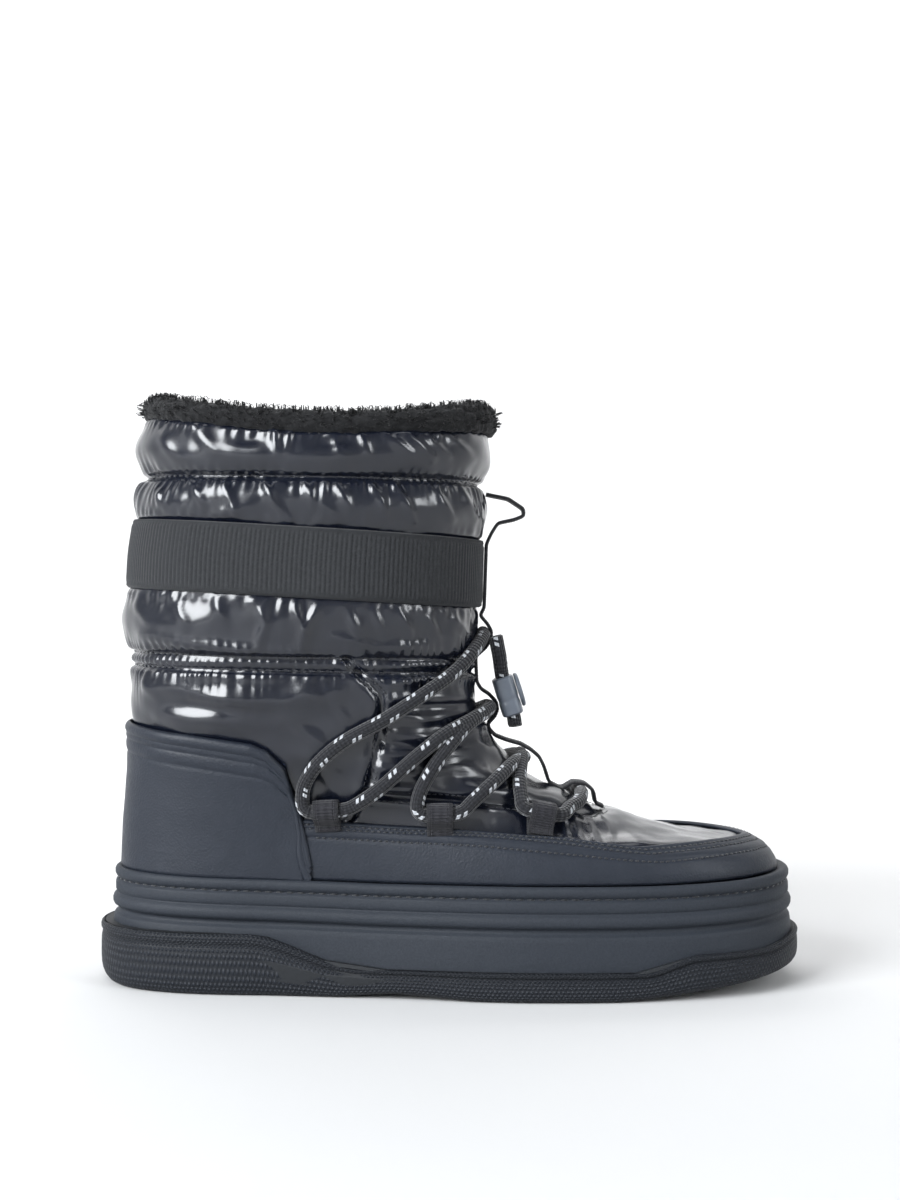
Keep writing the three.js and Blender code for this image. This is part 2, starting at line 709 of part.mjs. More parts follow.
function makeFrontWebbing() {
  const flat = clearance + webbingThickness / 2;
  const line = webbingRoute.map((stop) => bodyOffset(0, stop.row, flat + stop.lift * cordDiameter));
  const swing = bodyPoint(0, 12).y;
  return geometryFrom(solidFrom(ribbon(line, webbingWidth).translate(0, swing, 0)));
}

// Middle of the lace inside each webbing loop, in side view
const laceLoops = [
  { name: 'rear', x: -47, z: 71.6, lean: 0.06 },
  { name: 'middle', x: -4, z: 70, lean: 0.02 },
  { name: 'front', x: 34, z: 66.4, lean: -0.04 },
];
const loopLift = 4.2 * clearance + loopThickness + cordRadius;

// Height of the mudguard's top edge at a length
function mudguardTop(x) {
  const edge = scaled(mudguardEdge);
  const next = edge.findIndex(([station]) => station > x);
  const [x0, z0] = edge[next - 1];
  const [x1, z1] = edge[next];
  return lerp(z0, z1, (x - x0) / (x1 - x0));
}

// Middle and directions of one webbing loop: out of the body, along the cord and up
function loopFrame(loop, side) {
  const centre = bodyAt(loop.x, loop.z, side, loopLift);
  const out = centre.clone().sub(bodyAt(loop.x, loop.z, side, 0)).normalize();
  const lean = new THREE.Vector3(1, 0, loop.lean);
  const along = lean.addScaledVector(out, -out.dot(lean)).normalize();
  const up = new THREE.Vector3().crossVectors(out, along).multiplyScalar(-side).normalize();
  return { centre, out, along, up };
}

// Corners of a regular outline that stands for a circle
function circle(x, y, radius, sides) {
  const corners = [];
  for (let index = 0; index < sides; index += 1) {
    const turn = (index / sides) * 2 * Math.PI;
    corners.push(new THREE.Vector2(x + radius * Math.cos(turn), y + radius * Math.sin(turn)));
  }
  return corners;
}

// Folded webbing: a round eye for the cord with both legs pressed together below it
function makeLaceLoop(loop, side) {
  const { centre, out, along, up } = loopFrame(loop, side);
  const eye = cordRadius + clearance;
  const face = eye + loopThickness;
  const slope = Math.abs(along.z) * webbingWidth / 2 + face * Math.max(0, out.z);
  const leg = (centre.z - slope - mudguardTop(loop.x - webbingWidth / 2) - clearance) / up.z;
  const shape = new THREE.Shape();
  shape.moveTo(-face, -leg);
  shape.lineTo(-face, -0.5 * leg);
  shape.absarc(0, 0, face, Math.PI, -0.3 * Math.PI, true);
  shape.lineTo(-face + 2.2 * loopThickness, -leg);
  shape.closePath();
  shape.holes.push(new THREE.Path(circle(0, 0, eye, 10)));
  const depth = webbingWidth;
  const strip = new THREE.ExtrudeGeometry(shape, { depth, bevelEnabled: false, curveSegments: 5 });
  strip.translate(0, 0, -depth / 2);
  const axis = new THREE.Vector3().crossVectors(out, up);
  strip.applyMatrix4(new THREE.Matrix4().makeBasis(out, up, axis));
  strip.translate(centre.x, centre.y, centre.z);
  return geometryFrom(solidFrom(strip));
}

// A cord with a ring of points at each stop of its route
class CordRoute extends THREE.CatmullRomCurve3 {
  getPointAt(share) {
    return this.getPoint(share);
  }

  getTangentAt(share) {
    return this.getTangent(share);
  }
}

function cord(stops) {
  const section = new THREE.Shape(circle(0, 0, cordRadius, cordSides));
  const route = new CordRoute(stops);
  const settings = { steps: stops.length - 1, extrudePath: route, bevelEnabled: false };
  return solidFrom(new THREE.ExtrudeGeometry(section, settings));
}

// Stops of one half of the lace in side view, from the top passage to the bar over the vamp.
// side 1 is the half's own side and -1 the other; the other half is its mirror image.
const laceStops = [
  { crest: 14.05 },
  { x: 9.3, z: 136.8, side: 1, lift: 0.3 },
  { x: 5.5, z: 131, side: 1, lift: 0.3 },
  { x: -1, z: 123, side: 1 },
  { x: -12.5, z: 114.5, side: 1 },
  { x: -26, z: 106, side: 1 },
  { x: -40, z: 98, side: 1 },
  { x: -49.8, z: 90, side: 1 },
  { x: -55, z: 82, side: 1 },
  { x: -56, z: 76.5, side: 1, lift: 0.8 },
  { loop: 0, end: -1, side: 1 },
  { loop: 0, end: 1, side: 1 },
  { x: -36, z: 73.6, side: 1, lift: 0.8 },
  { x: -27, z: 80, side: 1, lift: 0.7 },
  { x: -15, z: 90, side: 1, lift: 0.3 },
  { x: -4, z: 98.5, side: 1 },
  { x: 5.5, z: 103.5, side: 1, lift: 0.3 },
  { x: 10.2, z: 106.5, side: 1, lift: 1, over: true },
  { crest: 11.7, over: true },
  { x: 10, z: 105.4, side: -1, lift: 1, over: true },
  { x: 4, z: 101.5, side: -1, lift: 0.4 },
  { x: -4.5, z: 91, side: -1, lift: 0.3 },
  { x: -10.5, z: 81, side: -1 },
  { x: -12.4, z: 75, side: -1, lift: 0.8 },
  { loop: 1, end: -1, side: -1 },
  { loop: 1, end: 1, side: -1 },
  { x: 7.5, z: 73, side: -1, lift: 0.8 },
  { x: 15.5, z: 79, side: -1, lift: 0.4 },
  { x: 22.5, z: 84, side: -1, lift: 0.8 },
  { crest: 10, over: true },
  { x: 25.2, z: 84.4, side: 1, lift: 1.5 },
  { x: 25.4, z: 77.5, side: 1 },
  { x: 26.2, z: 71.5, side: 1, lift: 0.8 },
  { loop: 2, end: -1, side: 1 },
  { loop: 2, end: 1, side: 1 },
  { x: 44.8, z: 67, side: 1, lift: 0.8 },
  { x: 48.4, z: 68, side: 1, lift: 0.7 },
  { x: 50.4, z: 69.8, side: 1, lift: 0.9 },
  { crest: 8.58 },
];

// How far the cord's middle stands off the body between its stops on a round surface
const cordLift = clearance + cordRadius + 0.6;

function laceStop(stop, half) {
  const over = stop.over && half < 0 ? 0.35 * cordRadius : 0;
  if (stop.crest) {
    return bodyOffset(0, stop.crest, clearance + cordRadius + over + 0.2);
  }
  const side = half * stop.side;
  if (stop.end) {
    const { centre, along } = loopFrame(laceLoops[stop.loop], side);
    return centre.addScaledVector(along, stop.end * (0.5 * webbingWidth + 0.8 * cordRadius));
  }
  return bodyAt(stop.x, stop.z, side, cordLift + (stop.lift ?? 0) + over);
}

function makeLace() {
  const halves = [-1, 1].map((half) => cord(laceStops.map((stop) => laceStop(stop, half))));
  return geometryFrom(halves[0].add(halves[1]));
}

// A free end of the lace: out of the top passage, down through the lock and in under the webbing.
// Across, 1 stands for the end's own side.
const endStops = [
  [18.3, 8.4, 136.4], [18.7, 8.3, 134.6], [19.1, 8.1, 132.4], [19.6, 7.6, 130], [20, 6.9, 127.6],
  [20.3, 6, 125.4], [20.5, 5.1, 123.4], [20.8, 4.5, 121.6], [21.2, 4.2, 119.2], [22.2, 4.2, 115.6],
  [23.2, 4.2, 112.4], [24.2, 4.2, 109.2], [25.3, 4.2, 105.6], [25.9, 4.5, 103], [26.2, 5.1, 100.6],
];

function makeLaceEnd(side) {
  const swing = bodyPoint(0, 12).y;
  return geometryFrom(cord(endStops.map(([x, across, z]) => new THREE.Vector3(x, side * across + swing, z))));
}

// The lock's place follows the free ends that run through it
const [lockX, lockAcross, lockMiddleZ] = endStops[10];

// The lock leans as its cords do
function placedOnCord(geometry) {
  const [upperX, , upperZ] = endStops[9];
  const [lowerX, , lowerZ] = endStops[11];
  geometry.rotateY(-Math.atan2(lowerX - upperX, upperZ - lowerZ));
  geometry.translate(lockX, bodyPoint(0, 12).y, lockMiddleZ);
  return geometryFrom(solidFrom(geometry));
}

function makeLockBarrel() {
  const eye = cordRadius + 1.6 * clearance;
  const deep = eye + lockWall;
  const wide = lockAcross + eye + lockWall;
  const corner = deep * 0.6;
  const shape = new THREE.Shape();
  shape.absarc(deep - corner, wide - corner, corner, 0, Math.PI / 2, false);
  shape.absarc(corner - deep, wide - corner, corner, Math.PI / 2, Math.PI, false);
  shape.absarc(corner - deep, corner - wide, corner, Math.PI, 1.5 * Math.PI, false);
  shape.absarc(deep - corner, corner - wide, corner, 1.5 * Math.PI, 2 * Math.PI, false);
  for (const side of [-1, 1]) {
    shape.holes.push(new THREE.Path(circle(0, side * lockAcross, eye, 12)));
  }
  const barrel = new THREE.ExtrudeGeometry(shape, { depth: lockHeight, bevelEnabled: false, curveSegments: 4 });
  barrel.translate(0, 0, -lockHeight / 2);
  return placedOnCord(barrel);
}

function makeLockButton() {
  const profile = [
    [0, 0], [0.93, 0], [1, 0.3], [0.93, 0.66], [0.6, 0.92], [0, 1],
  ].map(([out, up]) => new THREE.Vector2(out * lockCapRadius, up * lockCapThickness));
  const cap = new THREE.LatheGeometry(profile, 16);
  cap.rotateZ(-Math.PI / 2);
  cap.translate(cordRadius + 2.6 * clearance + lockWall, 0, 0.06 * lockHeight);
  return placedOnCord(cap);
}

const material = (color, roughness, metalness = 0) => new THREE.MeshStandardMaterial({ color, roughness, metalness });

const materials = {
  rubber: material('#2a2d31', 0.75),
  foam: material('#383c41', 0.7),
  footbed: material('#1c1d1f', 0.95),
  nylon: material('#0d0e12', 0.25),
  leather: material('#2f3439', 0.55),
  grosgrain: material('#26282b', 0.85),
  webbing: material('#12131a', 0.85),
  fur: material('#1a1b1e', 1),
  cord: material('#1b1c1e', 0.8),
  plastic: material('#5c646e', 0.45),
};

const boot = new THREE.Group();

function addPiece(name, geometry, finish) {
  const mesh = new THREE.Mesh(geometry, materials[finish]);
  mesh.name = name;
  boot.add(mesh);
}

addPiece('outsole', makeOutsole(), 'rubber');
addPiece('midsole', makeMidsole(), 'foam');
addPiece('insole', makeInsole(), 'footbed');
addPiece('upper', makeUpper(), 'nylon');
addPiece('heel_counter', makeCounter(), 'leather');
addPiece('mudguard', makeMudguard(), 'leather');
addPiece('shaft_band', makeBand(), 'grosgrain');
addPiece('fur_collar', makeFurCollar(), 'fur');
addPiece('front_webbing', makeFrontWebbing(), 'webbing');
for (const loop of laceLoops) {
  addPiece(`lace_loop_outer_${loop.name}`, makeLaceLoop(loop, -1), 'webbing');
  addPiece(`lace_loop_inner_${loop.name}`, makeLaceLoop(loop, 1), 'webbing');
}
addPiece('lace', makeLace(), 'cord');
addPiece('lace_end_outer', makeLaceEnd(-1), 'cord');
addPiece('lace_end_inner', makeLaceEnd(1), 'cord');
addPiece('cord_lock_barrel', makeLockBarrel(), 'plastic');
addPiece('cord_lock_button', makeLockButton(), 'plastic');

export default boot;
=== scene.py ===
# %% [markdown]
# # A padded winter boot with cord lacing
# This lesson dresses a right winter boot: a quilted glossy nylon upper, a fur collar, a ribbed band,
# leather overlays, webbing, a braided cord and a thick moulded sole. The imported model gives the
# places and sizes, and each cell adds one piece or one finish to it.

# %% Frame
import math
import random

import bmesh
import bpy
import numpy as np
from mathutils import Matrix, Vector, noise


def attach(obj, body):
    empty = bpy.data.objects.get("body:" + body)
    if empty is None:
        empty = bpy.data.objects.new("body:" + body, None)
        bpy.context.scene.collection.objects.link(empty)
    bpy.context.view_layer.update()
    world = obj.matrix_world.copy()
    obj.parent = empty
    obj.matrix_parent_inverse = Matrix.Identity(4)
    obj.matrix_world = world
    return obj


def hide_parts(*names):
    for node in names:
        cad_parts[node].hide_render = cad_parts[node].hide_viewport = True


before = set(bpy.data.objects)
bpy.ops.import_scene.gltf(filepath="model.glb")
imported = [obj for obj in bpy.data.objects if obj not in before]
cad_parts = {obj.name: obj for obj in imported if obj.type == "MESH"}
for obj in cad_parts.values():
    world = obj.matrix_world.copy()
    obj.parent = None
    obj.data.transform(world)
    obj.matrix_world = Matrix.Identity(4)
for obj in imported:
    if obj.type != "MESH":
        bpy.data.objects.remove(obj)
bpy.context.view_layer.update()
print("nodes in the frame:", len(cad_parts))

# %% [markdown]
# ## Camera
# The boot was photographed level and straight from its outer side. The lens is a mild telephoto, and
# the camera stands 657 mm from the middle of the boot at a little over half its height. The standard
# view transform keeps the nearly black finishes deep and lets their highlights run up to white.

# %% Camera
camera_data = bpy.data.cameras.new("studio_camera")
camera_data.sensor_width = 36
camera_data.lens = 48.8
camera = bpy.data.objects.new("studio_camera", camera_data)
camera.location = (0, -0.657, 0.151)
camera.rotation_euler = (math.pi / 2, 0, 0)
bpy.context.collection.objects.link(camera)
bpy.context.scene.camera = camera
bpy.context.scene.view_settings.view_transform = "Standard"

# %% [markdown]
# ## The boot's own sizes
# A boot is measured by its sections: how far back, how far forward, how wide and how high each one
# lies, from the board under the foot up to the collar. The tables below are those of the packed
# model, so that every piece made from them lies where its solid does. They are in millimetres.

# %% Sizes
MM = 0.001
sole_half = 140
ball_half = 51
instep_height = 98
collar_height = 218
collar_dip = 6.5
shaft_depth = 140
shaft_half = 52
toe_swing = 4
waist_pinch = 3
clearance = 0.3
wall = 3
cord_radius = 2.75
webbing_width = 10

foot_sections = [
    # back, back up, front, front up, heel width, ball width, toe round, heel round
    (-0.904, 0.316, 0.907, 0.286, 0.569, 0.784, 5.2, 6.0),
    (-0.921, 0.439, 0.929, 0.439, 0.598, 0.814, 5.2, 6.0),
    (-0.921, 0.510, 0.918, 0.495, 0.608, 0.808, 5.0, 6.0),
    (-0.919, 0.582, 0.893, 0.530, 0.614, 0.784, 4.7, 6.0),
    (-0.917, 0.643, 0.850, 0.563, 0.620, 0.747, 4.1, 6.0),
    (-0.914, 0.694, 0.771, 0.577, 0.627, 0.708, 3.5, 5.8),
    (-0.911, 0.745, 0.679, 0.592, 0.633, 0.686, 3.1, 5.6),
    (-0.909, 0.796, 0.571, 0.624, 0.641, 0.680, 2.9, 5.2),
    (-0.906, 0.857, 0.443, 0.680, 0.653, 0.690, 2.8, 4.8),
    (-0.905, 0.929, 0.314, 0.757, 0.673, 0.716, 2.7, 4.3),
    (-0.907, 1.000, 0.193, 0.860, 0.706, 0.752, 2.6, 3.8),
]
shaft_sections = [
    # back, back up, depth, front up, width, front round, rear round, dip
    (-0.914, 0.067, 1.021, 0.004, 0.770, 2.6, 3.4, 0),
    (-0.917, 0.142, 0.992, 0.108, 0.822, 2.5, 3.0, 0),
    (-0.914, 0.250, 0.982, 0.225, 0.850, 2.4, 2.8, 0),
    (-0.929, 0.358, 1.000, 0.329, 0.913, 2.4, 2.8, 0),
    (-0.916, 0.483, 0.995, 0.417, 0.933, 2.4, 2.8, 0),
    (-0.909, 0.600, 0.991, 0.525, 0.948, 2.4, 2.8, 0),
    (-0.895, 0.708, 0.981, 0.642, 0.958, 2.4, 2.8, 0),
    (-0.891, 0.775, 0.988, 0.738, 0.985, 2.4, 2.8, 0),
    (-0.875, 0.842, 0.964, 0.825, 0.952, 2.4, 2.8, 0.15),
    (-0.889, 0.942, 1.000, 0.913, 1.000, 2.4, 2.8, 0.6),
    (-0.866, 1.042, 0.966, 1.000, 0.968, 2.4, 2.8, 1),
]
channel_row, band_low_row, band_high_row, seam_row, collar_row = 13, 15, 17, 19, 21
channel_half = 0.19


# %% [markdown]
# ## The surface of the boot
# A turn round the boot and a row of the table together name one point of the padded wall, as
# longitude and latitude do on a globe. The curve between the rows is a Catmull-Rom spline. These
# functions take whole arrays at once, because the nylon alone asks for a hundred thousand points.

# %% Surface
def full_section(row):
    back, back_up, front, front_up, heel, ball, toe_round, heel_round = row
    return [back * sole_half, back_up * instep_height, front * sole_half, front_up * instep_height,
            heel * ball_half, ball * ball_half, toe_round, heel_round,
            min(1, max(0, (1.02 - back_up) / 0.3)), 0]


def shaft_section(row):
    back, back_up, depth, front_up, width, front_round, rear_round, dip = row
    rise = collar_height - instep_height
    return [back * sole_half, instep_height + back_up * rise, back * sole_half + depth * shaft_depth,
            instep_height + front_up * rise, width * shaft_half, width * shaft_half,
            front_round, rear_round, 0, dip * collar_dip]


sections = np.array([full_section(row) for row in foot_sections]
                    + [shaft_section(row) for row in shaft_sections])


def smooth(value, start, end):
    share = np.clip((value - start) / (end - start), 0, 1)
    return share * share * (3 - 2 * share)


def walked(points):
    """The way walked up to each of a row of points."""
    return np.concatenate([[0], np.cumsum(np.linalg.norm(np.diff(points, axis=0), axis=1))])


def bent(value, power):
    """A sine or cosine bent towards a square section by a power below one."""
    return np.sign(value) * np.abs(value) ** power


def round_over(gap, radius):
    """Share of full thickness at a gap from an edge that is rounded over."""
    return np.sqrt(np.clip(1 - (1 - np.clip(gap / radius, 0, 1)) ** 2, 0, 1))


def lerp(first, last, share):
    return first + (last - first) * share


def section_at(row):
    last = len(sections) - 1
    low = np.clip(np.floor(row).astype(int), 0, last - 1)
    share = (row - low)[..., None]
    a, b = sections[np.maximum(0, low - 1)], sections[low]
    c, d = sections[low + 1], sections[np.minimum(last, low + 2)]
    bend = (2 * b + (c - a) * share + (2 * a - 5 * b + 4 * c - d) * share ** 2
            + (3 * b - a - 3 * c + d) * share ** 3)
    return np.moveaxis(bend / 2, -1, 0)


def outline_point(turn, back, front, heel, ball, toe_round, heel_round, footness):
    share = np.cos(turn)
    inner = np.sin(turn) >= 0
    cap = np.sqrt(np.maximum(0, 1 - np.abs(share) ** np.where(share > 0, toe_round, heel_round)))
    widening = np.where(inner, smooth(share, -0.2, 0.5), smooth(share, -0.55, 0.25))
    pinch = np.where(inner, waist_pinch, 0.3 * waist_pinch) * np.exp(-((share + 0.15) / 0.3) ** 2)
    width = lerp(heel, ball, widening) - pinch * footness
    x = (front + back) / 2 + (front - back) / 2 * share
    y = np.where(inner, 1, -1) * width * cap + toe_swing * footness * smooth(share, 0.3, 1)
    return x, y, (share + 1) / 2


def body_point(turn, row):
    turn, row = np.broadcast_arrays(np.asarray(turn, float), np.asarray(row, float))
    back, back_z, front, front_z, heel, ball, toe, rear, footness, dip = section_at(row)
    x, y, along = outline_point(turn, back, front, heel, ball, toe, rear, footness)
    z = lerp(back_z, front_z, along) - dip * np.sin(turn) ** 2
    return np.stack([x, y, z], -1)


def body_normal(turn, row):
    turn, row = np.broadcast_arrays(np.asarray(turn, float), np.asarray(row, float))
    step = 0.01
    across = body_point(turn + step, row) - body_point(turn - step, row)
    up = body_point(turn, np.minimum(collar_row, row + step)) - body_point(turn, np.maximum(0, row - step))
    normal = np.cross(across, up)
    return normal / np.linalg.norm(normal, axis=-1, keepdims=True)


def body_offset(turn, row, distance):
    return body_point(turn, row) + body_normal(turn, row) * np.asarray(distance)[..., None]


def body_place(x, z, side):
    """Turn and row of the wall's point at a length and a height, on side 1 (inner) or -1 (outer)."""
    x, z, side = np.broadcast_arrays(np.asarray(x, float), np.asarray(z, float), side)
    low = np.zeros(x.shape)
    high = np.full(x.shape, float(collar_row))
    for _ in range(40):
        row = (low + high) / 2
        back, back_z, front, front_z, *_rest = section_at(row)
        share = (x - (back + front) / 2) / ((front - back) / 2)
        height = lerp(back_z, front_z, (share + 1) / 2) - _rest[-1] * np.maximum(0, 1 - share ** 2)
        below = (share < 1) & (height < z)
        low = np.where(below, row, low)
        high = np.where(below, high, row)
    back, _, front, *_rest = section_at(low)
    share = np.clip((x - (back + front) / 2) / ((front - back) / 2), -1, 1)
    return side * np.arccos(share), low


def body_at(x, z, side, distance):
    turn, row = body_place(x, z, side)
    return body_offset(turn, row, distance)


print("collar, back and front:", body_point(math.pi, collar_row).round(1), body_point(0, collar_row).round(1))


# %% [markdown]
# ## Sheets and tubes
# Cloth, leather, cords and moulded walls are all sheets that have been bent. Each one starts as a
# flat grid operator, whose corners are then laid on the boot by a function of the two shares, across
# and along. Edges that meet are merged. The map keeps the flat sheet's real sizes in metres, so a
# weave or a stitch follows the surface at its true scale.

# %% Grid of quads laid by a function
BODY = "root"


def finish_mesh(name, mesh_data, replaced=(), smooth_faces=True):
    mesh = bpy.data.meshes.new(name)
    mesh_data.to_mesh(mesh)
    mesh_data.free()
    mesh.polygons.foreach_set("use_smooth", [smooth_faces] * len(mesh.polygons))
    piece = bpy.data.objects.new(name, mesh)
    bpy.context.collection.objects.link(piece)
    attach(piece, BODY)
    if replaced:
        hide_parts(*replaced)
    triangles = sum(len(polygon.vertices) - 2 for polygon in mesh.polygons)
    print(name, triangles, "triangles")
    return piece


def laid_grid(across, along, place, sizes=(1, 1), closed=(False, False), base=None):
    """Adds a grid to a bmesh, its corners laid by place(u, v) in millimetres."""
    mesh_data = base or bmesh.new()
    layer = mesh_data.loops.layers.uv.get("cloth") or mesh_data.loops.layers.uv.new("cloth")
    made = bmesh.ops.create_grid(mesh_data, x_segments=across, y_segments=along, size=0.5)["verts"]
    shares = np.array([vertex.co[:2] for vertex in made]) + 0.5
    points = place(shares[:, 0], shares[:, 1]) * MM
    flat = shares * np.array(sizes) * MM
    numbers = {}
    for number, (vertex, point) in enumerate(zip(made, points)):
        vertex.co = point
        numbers[vertex] = number
    for face in {face for vertex in made for face in vertex.link_faces}:
        for loop in face.loops:
            loop[layer].uv = flat[numbers[loop.vert]]
    if any(closed):
        rim = [vertex for vertex in made if vertex.is_boundary]
        bmesh.ops.remove_doubles(mesh_data, verts=rim, dist=1e-6)
    return mesh_data


def sheet(name, across, along, place, sizes, closed=(True, False), replaced=(), thick=None):
    mesh_data = laid_grid(across, along, place, sizes, closed)
    bmesh.ops.recalc_face_normals(mesh_data, faces=mesh_data.faces)
    piece = finish_mesh(name, mesh_data, replaced)
    if thick:
        solid = piece.modifiers.new("thickness", "SOLIDIFY")
        solid.thickness = thick * MM
        solid.offset = -1
    return piece


def smooth_route(stops, spacing):
    """Points about a spacing apart on a smooth curve through the stops."""
    stops = np.array(stops, float)
    padded_stops = np.vstack([2 * stops[0] - stops[1], stops, 2 * stops[-1] - stops[-2]])
    fine = []
    for index in range(1, len(stops)):
        a, b, c, d = padded_stops[index - 1:index + 3]
        for share in np.arange(0, 1, 0.05):
            fine.append((2 * b + (c - a) * share + (2 * a - 5 * b + 4 * c - d) * share ** 2
                         + (3 * b - a - 3 * c + d) * share ** 3) / 2)
    fine.append(stops[-1])
    fine = np.array(fine)
    length = walked(fine)
    count = max(2, round(length[-1] / spacing))
    at = np.linspace(0, length[-1], count + 1)
    return np.stack([np.interp(at, length, fine[:, axis]) for axis in range(3)], -1), length[-1]


def travelling_frames(route):
    """Two directions across the route at each point, carried along it without twisting."""
    ahead = np.gradient(route, axis=0)
    ahead /= np.linalg.norm(ahead, axis=1, keepdims=True)
    first = np.zeros_like(route)
    side = np.cross(ahead[0], (0, 0, 1.0))
    if np.linalg.norm(side) < 0.1:
        side = np.cross(ahead[0], (1.0, 0, 0))
    for index, direction in enumerate(ahead):
        side = side - direction * np.dot(side, direction)
        side /= np.linalg.norm(side)
        first[index] = side
    return first, np.cross(ahead, first)


def tube(route, radius, sides, base=None):
    """A round cord along a route, closed at both ends, mapped round and along in metres."""
    first, second = travelling_frames(route)
    last = len(route) - 1
    length = np.linalg.norm(np.diff(route, axis=0), axis=1).sum()

    def place(u, v):
        index = np.rint(v * last).astype(int)
        turn = (2 * math.pi * u)[:, None]
        return route[index] + radius * (np.cos(turn) * first[index] + np.sin(turn) * second[index])

    mesh_data = laid_grid(sides, last, place, (2 * math.pi * radius, length), (True, False), base)
    open_rim = [edge for edge in mesh_data.edges if edge.is_boundary]
    bmesh.ops.holes_fill(mesh_data, edges=open_rim, sides=0)
    return mesh_data


# %% [markdown]
# ## The free ends of the cord
# One round braided cord laces the whole boot. Both free ends come out under the front webbing at the
# ankle, run down side by side through the cord lock and are tucked back under the webbing. Their
# length is what shows, about 38 mm each, so nothing is coiled or put away.

# %% Cord ends
end_stops = [
    (18.3, 8.4, 136.4), (18.7, 8.3, 134.6), (19.1, 8.1, 132.4), (19.6, 7.6, 130), (20, 6.9, 127.6),
    (20.3, 6, 125.4), (20.5, 5.1, 123.4), (20.8, 4.5, 121.6), (21.2, 4.2, 119.2), (22.2, 4.2, 115.6),
    (23.2, 4.2, 112.4), (24.2, 4.2, 109.2), (25.3, 4.2, 105.6), (25.9, 4.5, 103), (26.2, 5.1, 100.6),
]
end_routes = {}
cord_pieces = {}
for label, side in [("outer", -1), ("inner", 1)]:
    stops = [(x, side * across, z) for x, across, z in end_stops]
    route, length = smooth_route(stops, 1.0)
    mesh_data = tube(route, cord_radius, 20)
    bmesh.ops.recalc_face_normals(mesh_data, faces=mesh_data.faces)
    piece = finish_mesh(f"cord_end_{label}", mesh_data, [f"lace_end_{label}"])
    cord_pieces[label] = piece
    end_routes[label] = (route, length)
    print("free end", label, round(length, 1), "mm")

# %% [markdown]
# ## The cord lock
# The lock is a moulded barrel with two bores side by side, and a round sprung button on its front.
# The barrel is an upright stack of rounded outlines. The button is a profile spun round its axis, as
# on a lathe. Both lean with the cords that run through them.

# %% Cord lock
lock_height, lock_wall, lock_cap_thickness = 17, 1.1, 1.8
lock_middle = np.array([end_stops[10][0], 0, end_stops[10][2]])
lock_lean = math.atan2(end_stops[11][0] - end_stops[9][0], end_stops[9][2] - end_stops[11][2])
lock_pose = Matrix.Translation(Vector(lock_middle * MM)) @ Matrix.Rotation(-lock_lean, 4, "Y")


def barrel_point(u, v):
    """u goes round the outline, v from the middle of the foot over the wall to the middle of the top."""
    deep = cord_radius + 1.6 * clearance + lock_wall
    wide = end_stops[10][1] + deep
    turn = 2 * math.pi * u
    rim = np.clip(np.minimum(v, 1 - v) / 0.18, 0, 1)
    swell = np.sin(rim * math.pi / 2)
    round_edge = 1.3
    level = np.where(v < 0.5, -1, 1) * (lock_height / 2 - round_edge * (1 - np.cos(rim * math.pi / 2)))
    middle_share = np.clip((v - 0.18) / 0.64, 0, 1)
    z = np.where(rim < 1, level, lerp(-1, 1, middle_share) * (lock_height / 2 - round_edge))
    scale = np.where(rim < 1, 1 - (1 - swell) * 1.0, 1)
    waist = 1 - 0.05 * np.exp(-((z + 1.5) / 1.2) ** 2)
    power = 0.55
    x = deep * bent(np.cos(turn), power) * scale * waist
    y = wide * bent(np.sin(turn), power) * scale * waist
    return np.stack([x, y, z], -1)


mesh_data = laid_grid(64, 44, barrel_point, (40, 30), (True, True))
bmesh.ops.transform(mesh_data, matrix=lock_pose, verts=mesh_data.verts)
bmesh.ops.recalc_face_normals(mesh_data, faces=mesh_data.faces)
lock_barrel = finish_mesh("lock_barrel", mesh_data, ["cord_lock_barrel"])

button_profile = [(0, 0), (6.5, 0), (6.85, 0.2), (7, 0.6), (6.9, 1.1), (6.6, 1.5), (6.1, 1.72),
                  (5.2, 1.8), (4.9, 1.62), (4.6, 1.8), (2.5, 1.86), (0, 1.9)]
mesh_data = bmesh.new()
previous = None
for out, up in button_profile:
    vertex = mesh_data.verts.new((out * MM, 0, up * MM * lock_cap_thickness / 1.9))
    if previous:
        mesh_data.edges.new((previous, vertex))
    previous = vertex
bmesh.ops.spin(mesh_data, geom=mesh_data.verts[:] + mesh_data.edges[:], axis=(0, 0, 1), cent=(0, 0, 0),
               angle=2 * math.pi, steps=48, use_merge=True)
bmesh.ops.remove_doubles(mesh_data, verts=mesh_data.verts, dist=1e-6)
button_face = (cord_radius + 2.6 * clearance + lock_wall) * MM
button_pose = (lock_pose @ Matrix.Translation((button_face, 0, 0.06 * lock_height * MM))
               @ Matrix.Rotation(math.pi / 2, 4, "Y"))
bmesh.ops.transform(mesh_data, matrix=button_pose, verts=mesh_data.verts)
bmesh.ops.recalc_face_normals(mesh_data, faces=mesh_data.faces)
lock_button = finish_mesh("lock_button", mesh_data, ["cord_lock_button"])

for label, piece in cord_pieces.items():
    route, length = end_routes[label]
    on_cord = [lock_barrel, lock_button] if label == "outer" else []

# %% [markdown]
# ## Shader sums
# A material is a sum worked out at each point of the surface. The class below lets such sums be
# written as plain Python: every operator adds one Math node. Any other node is made by one method.

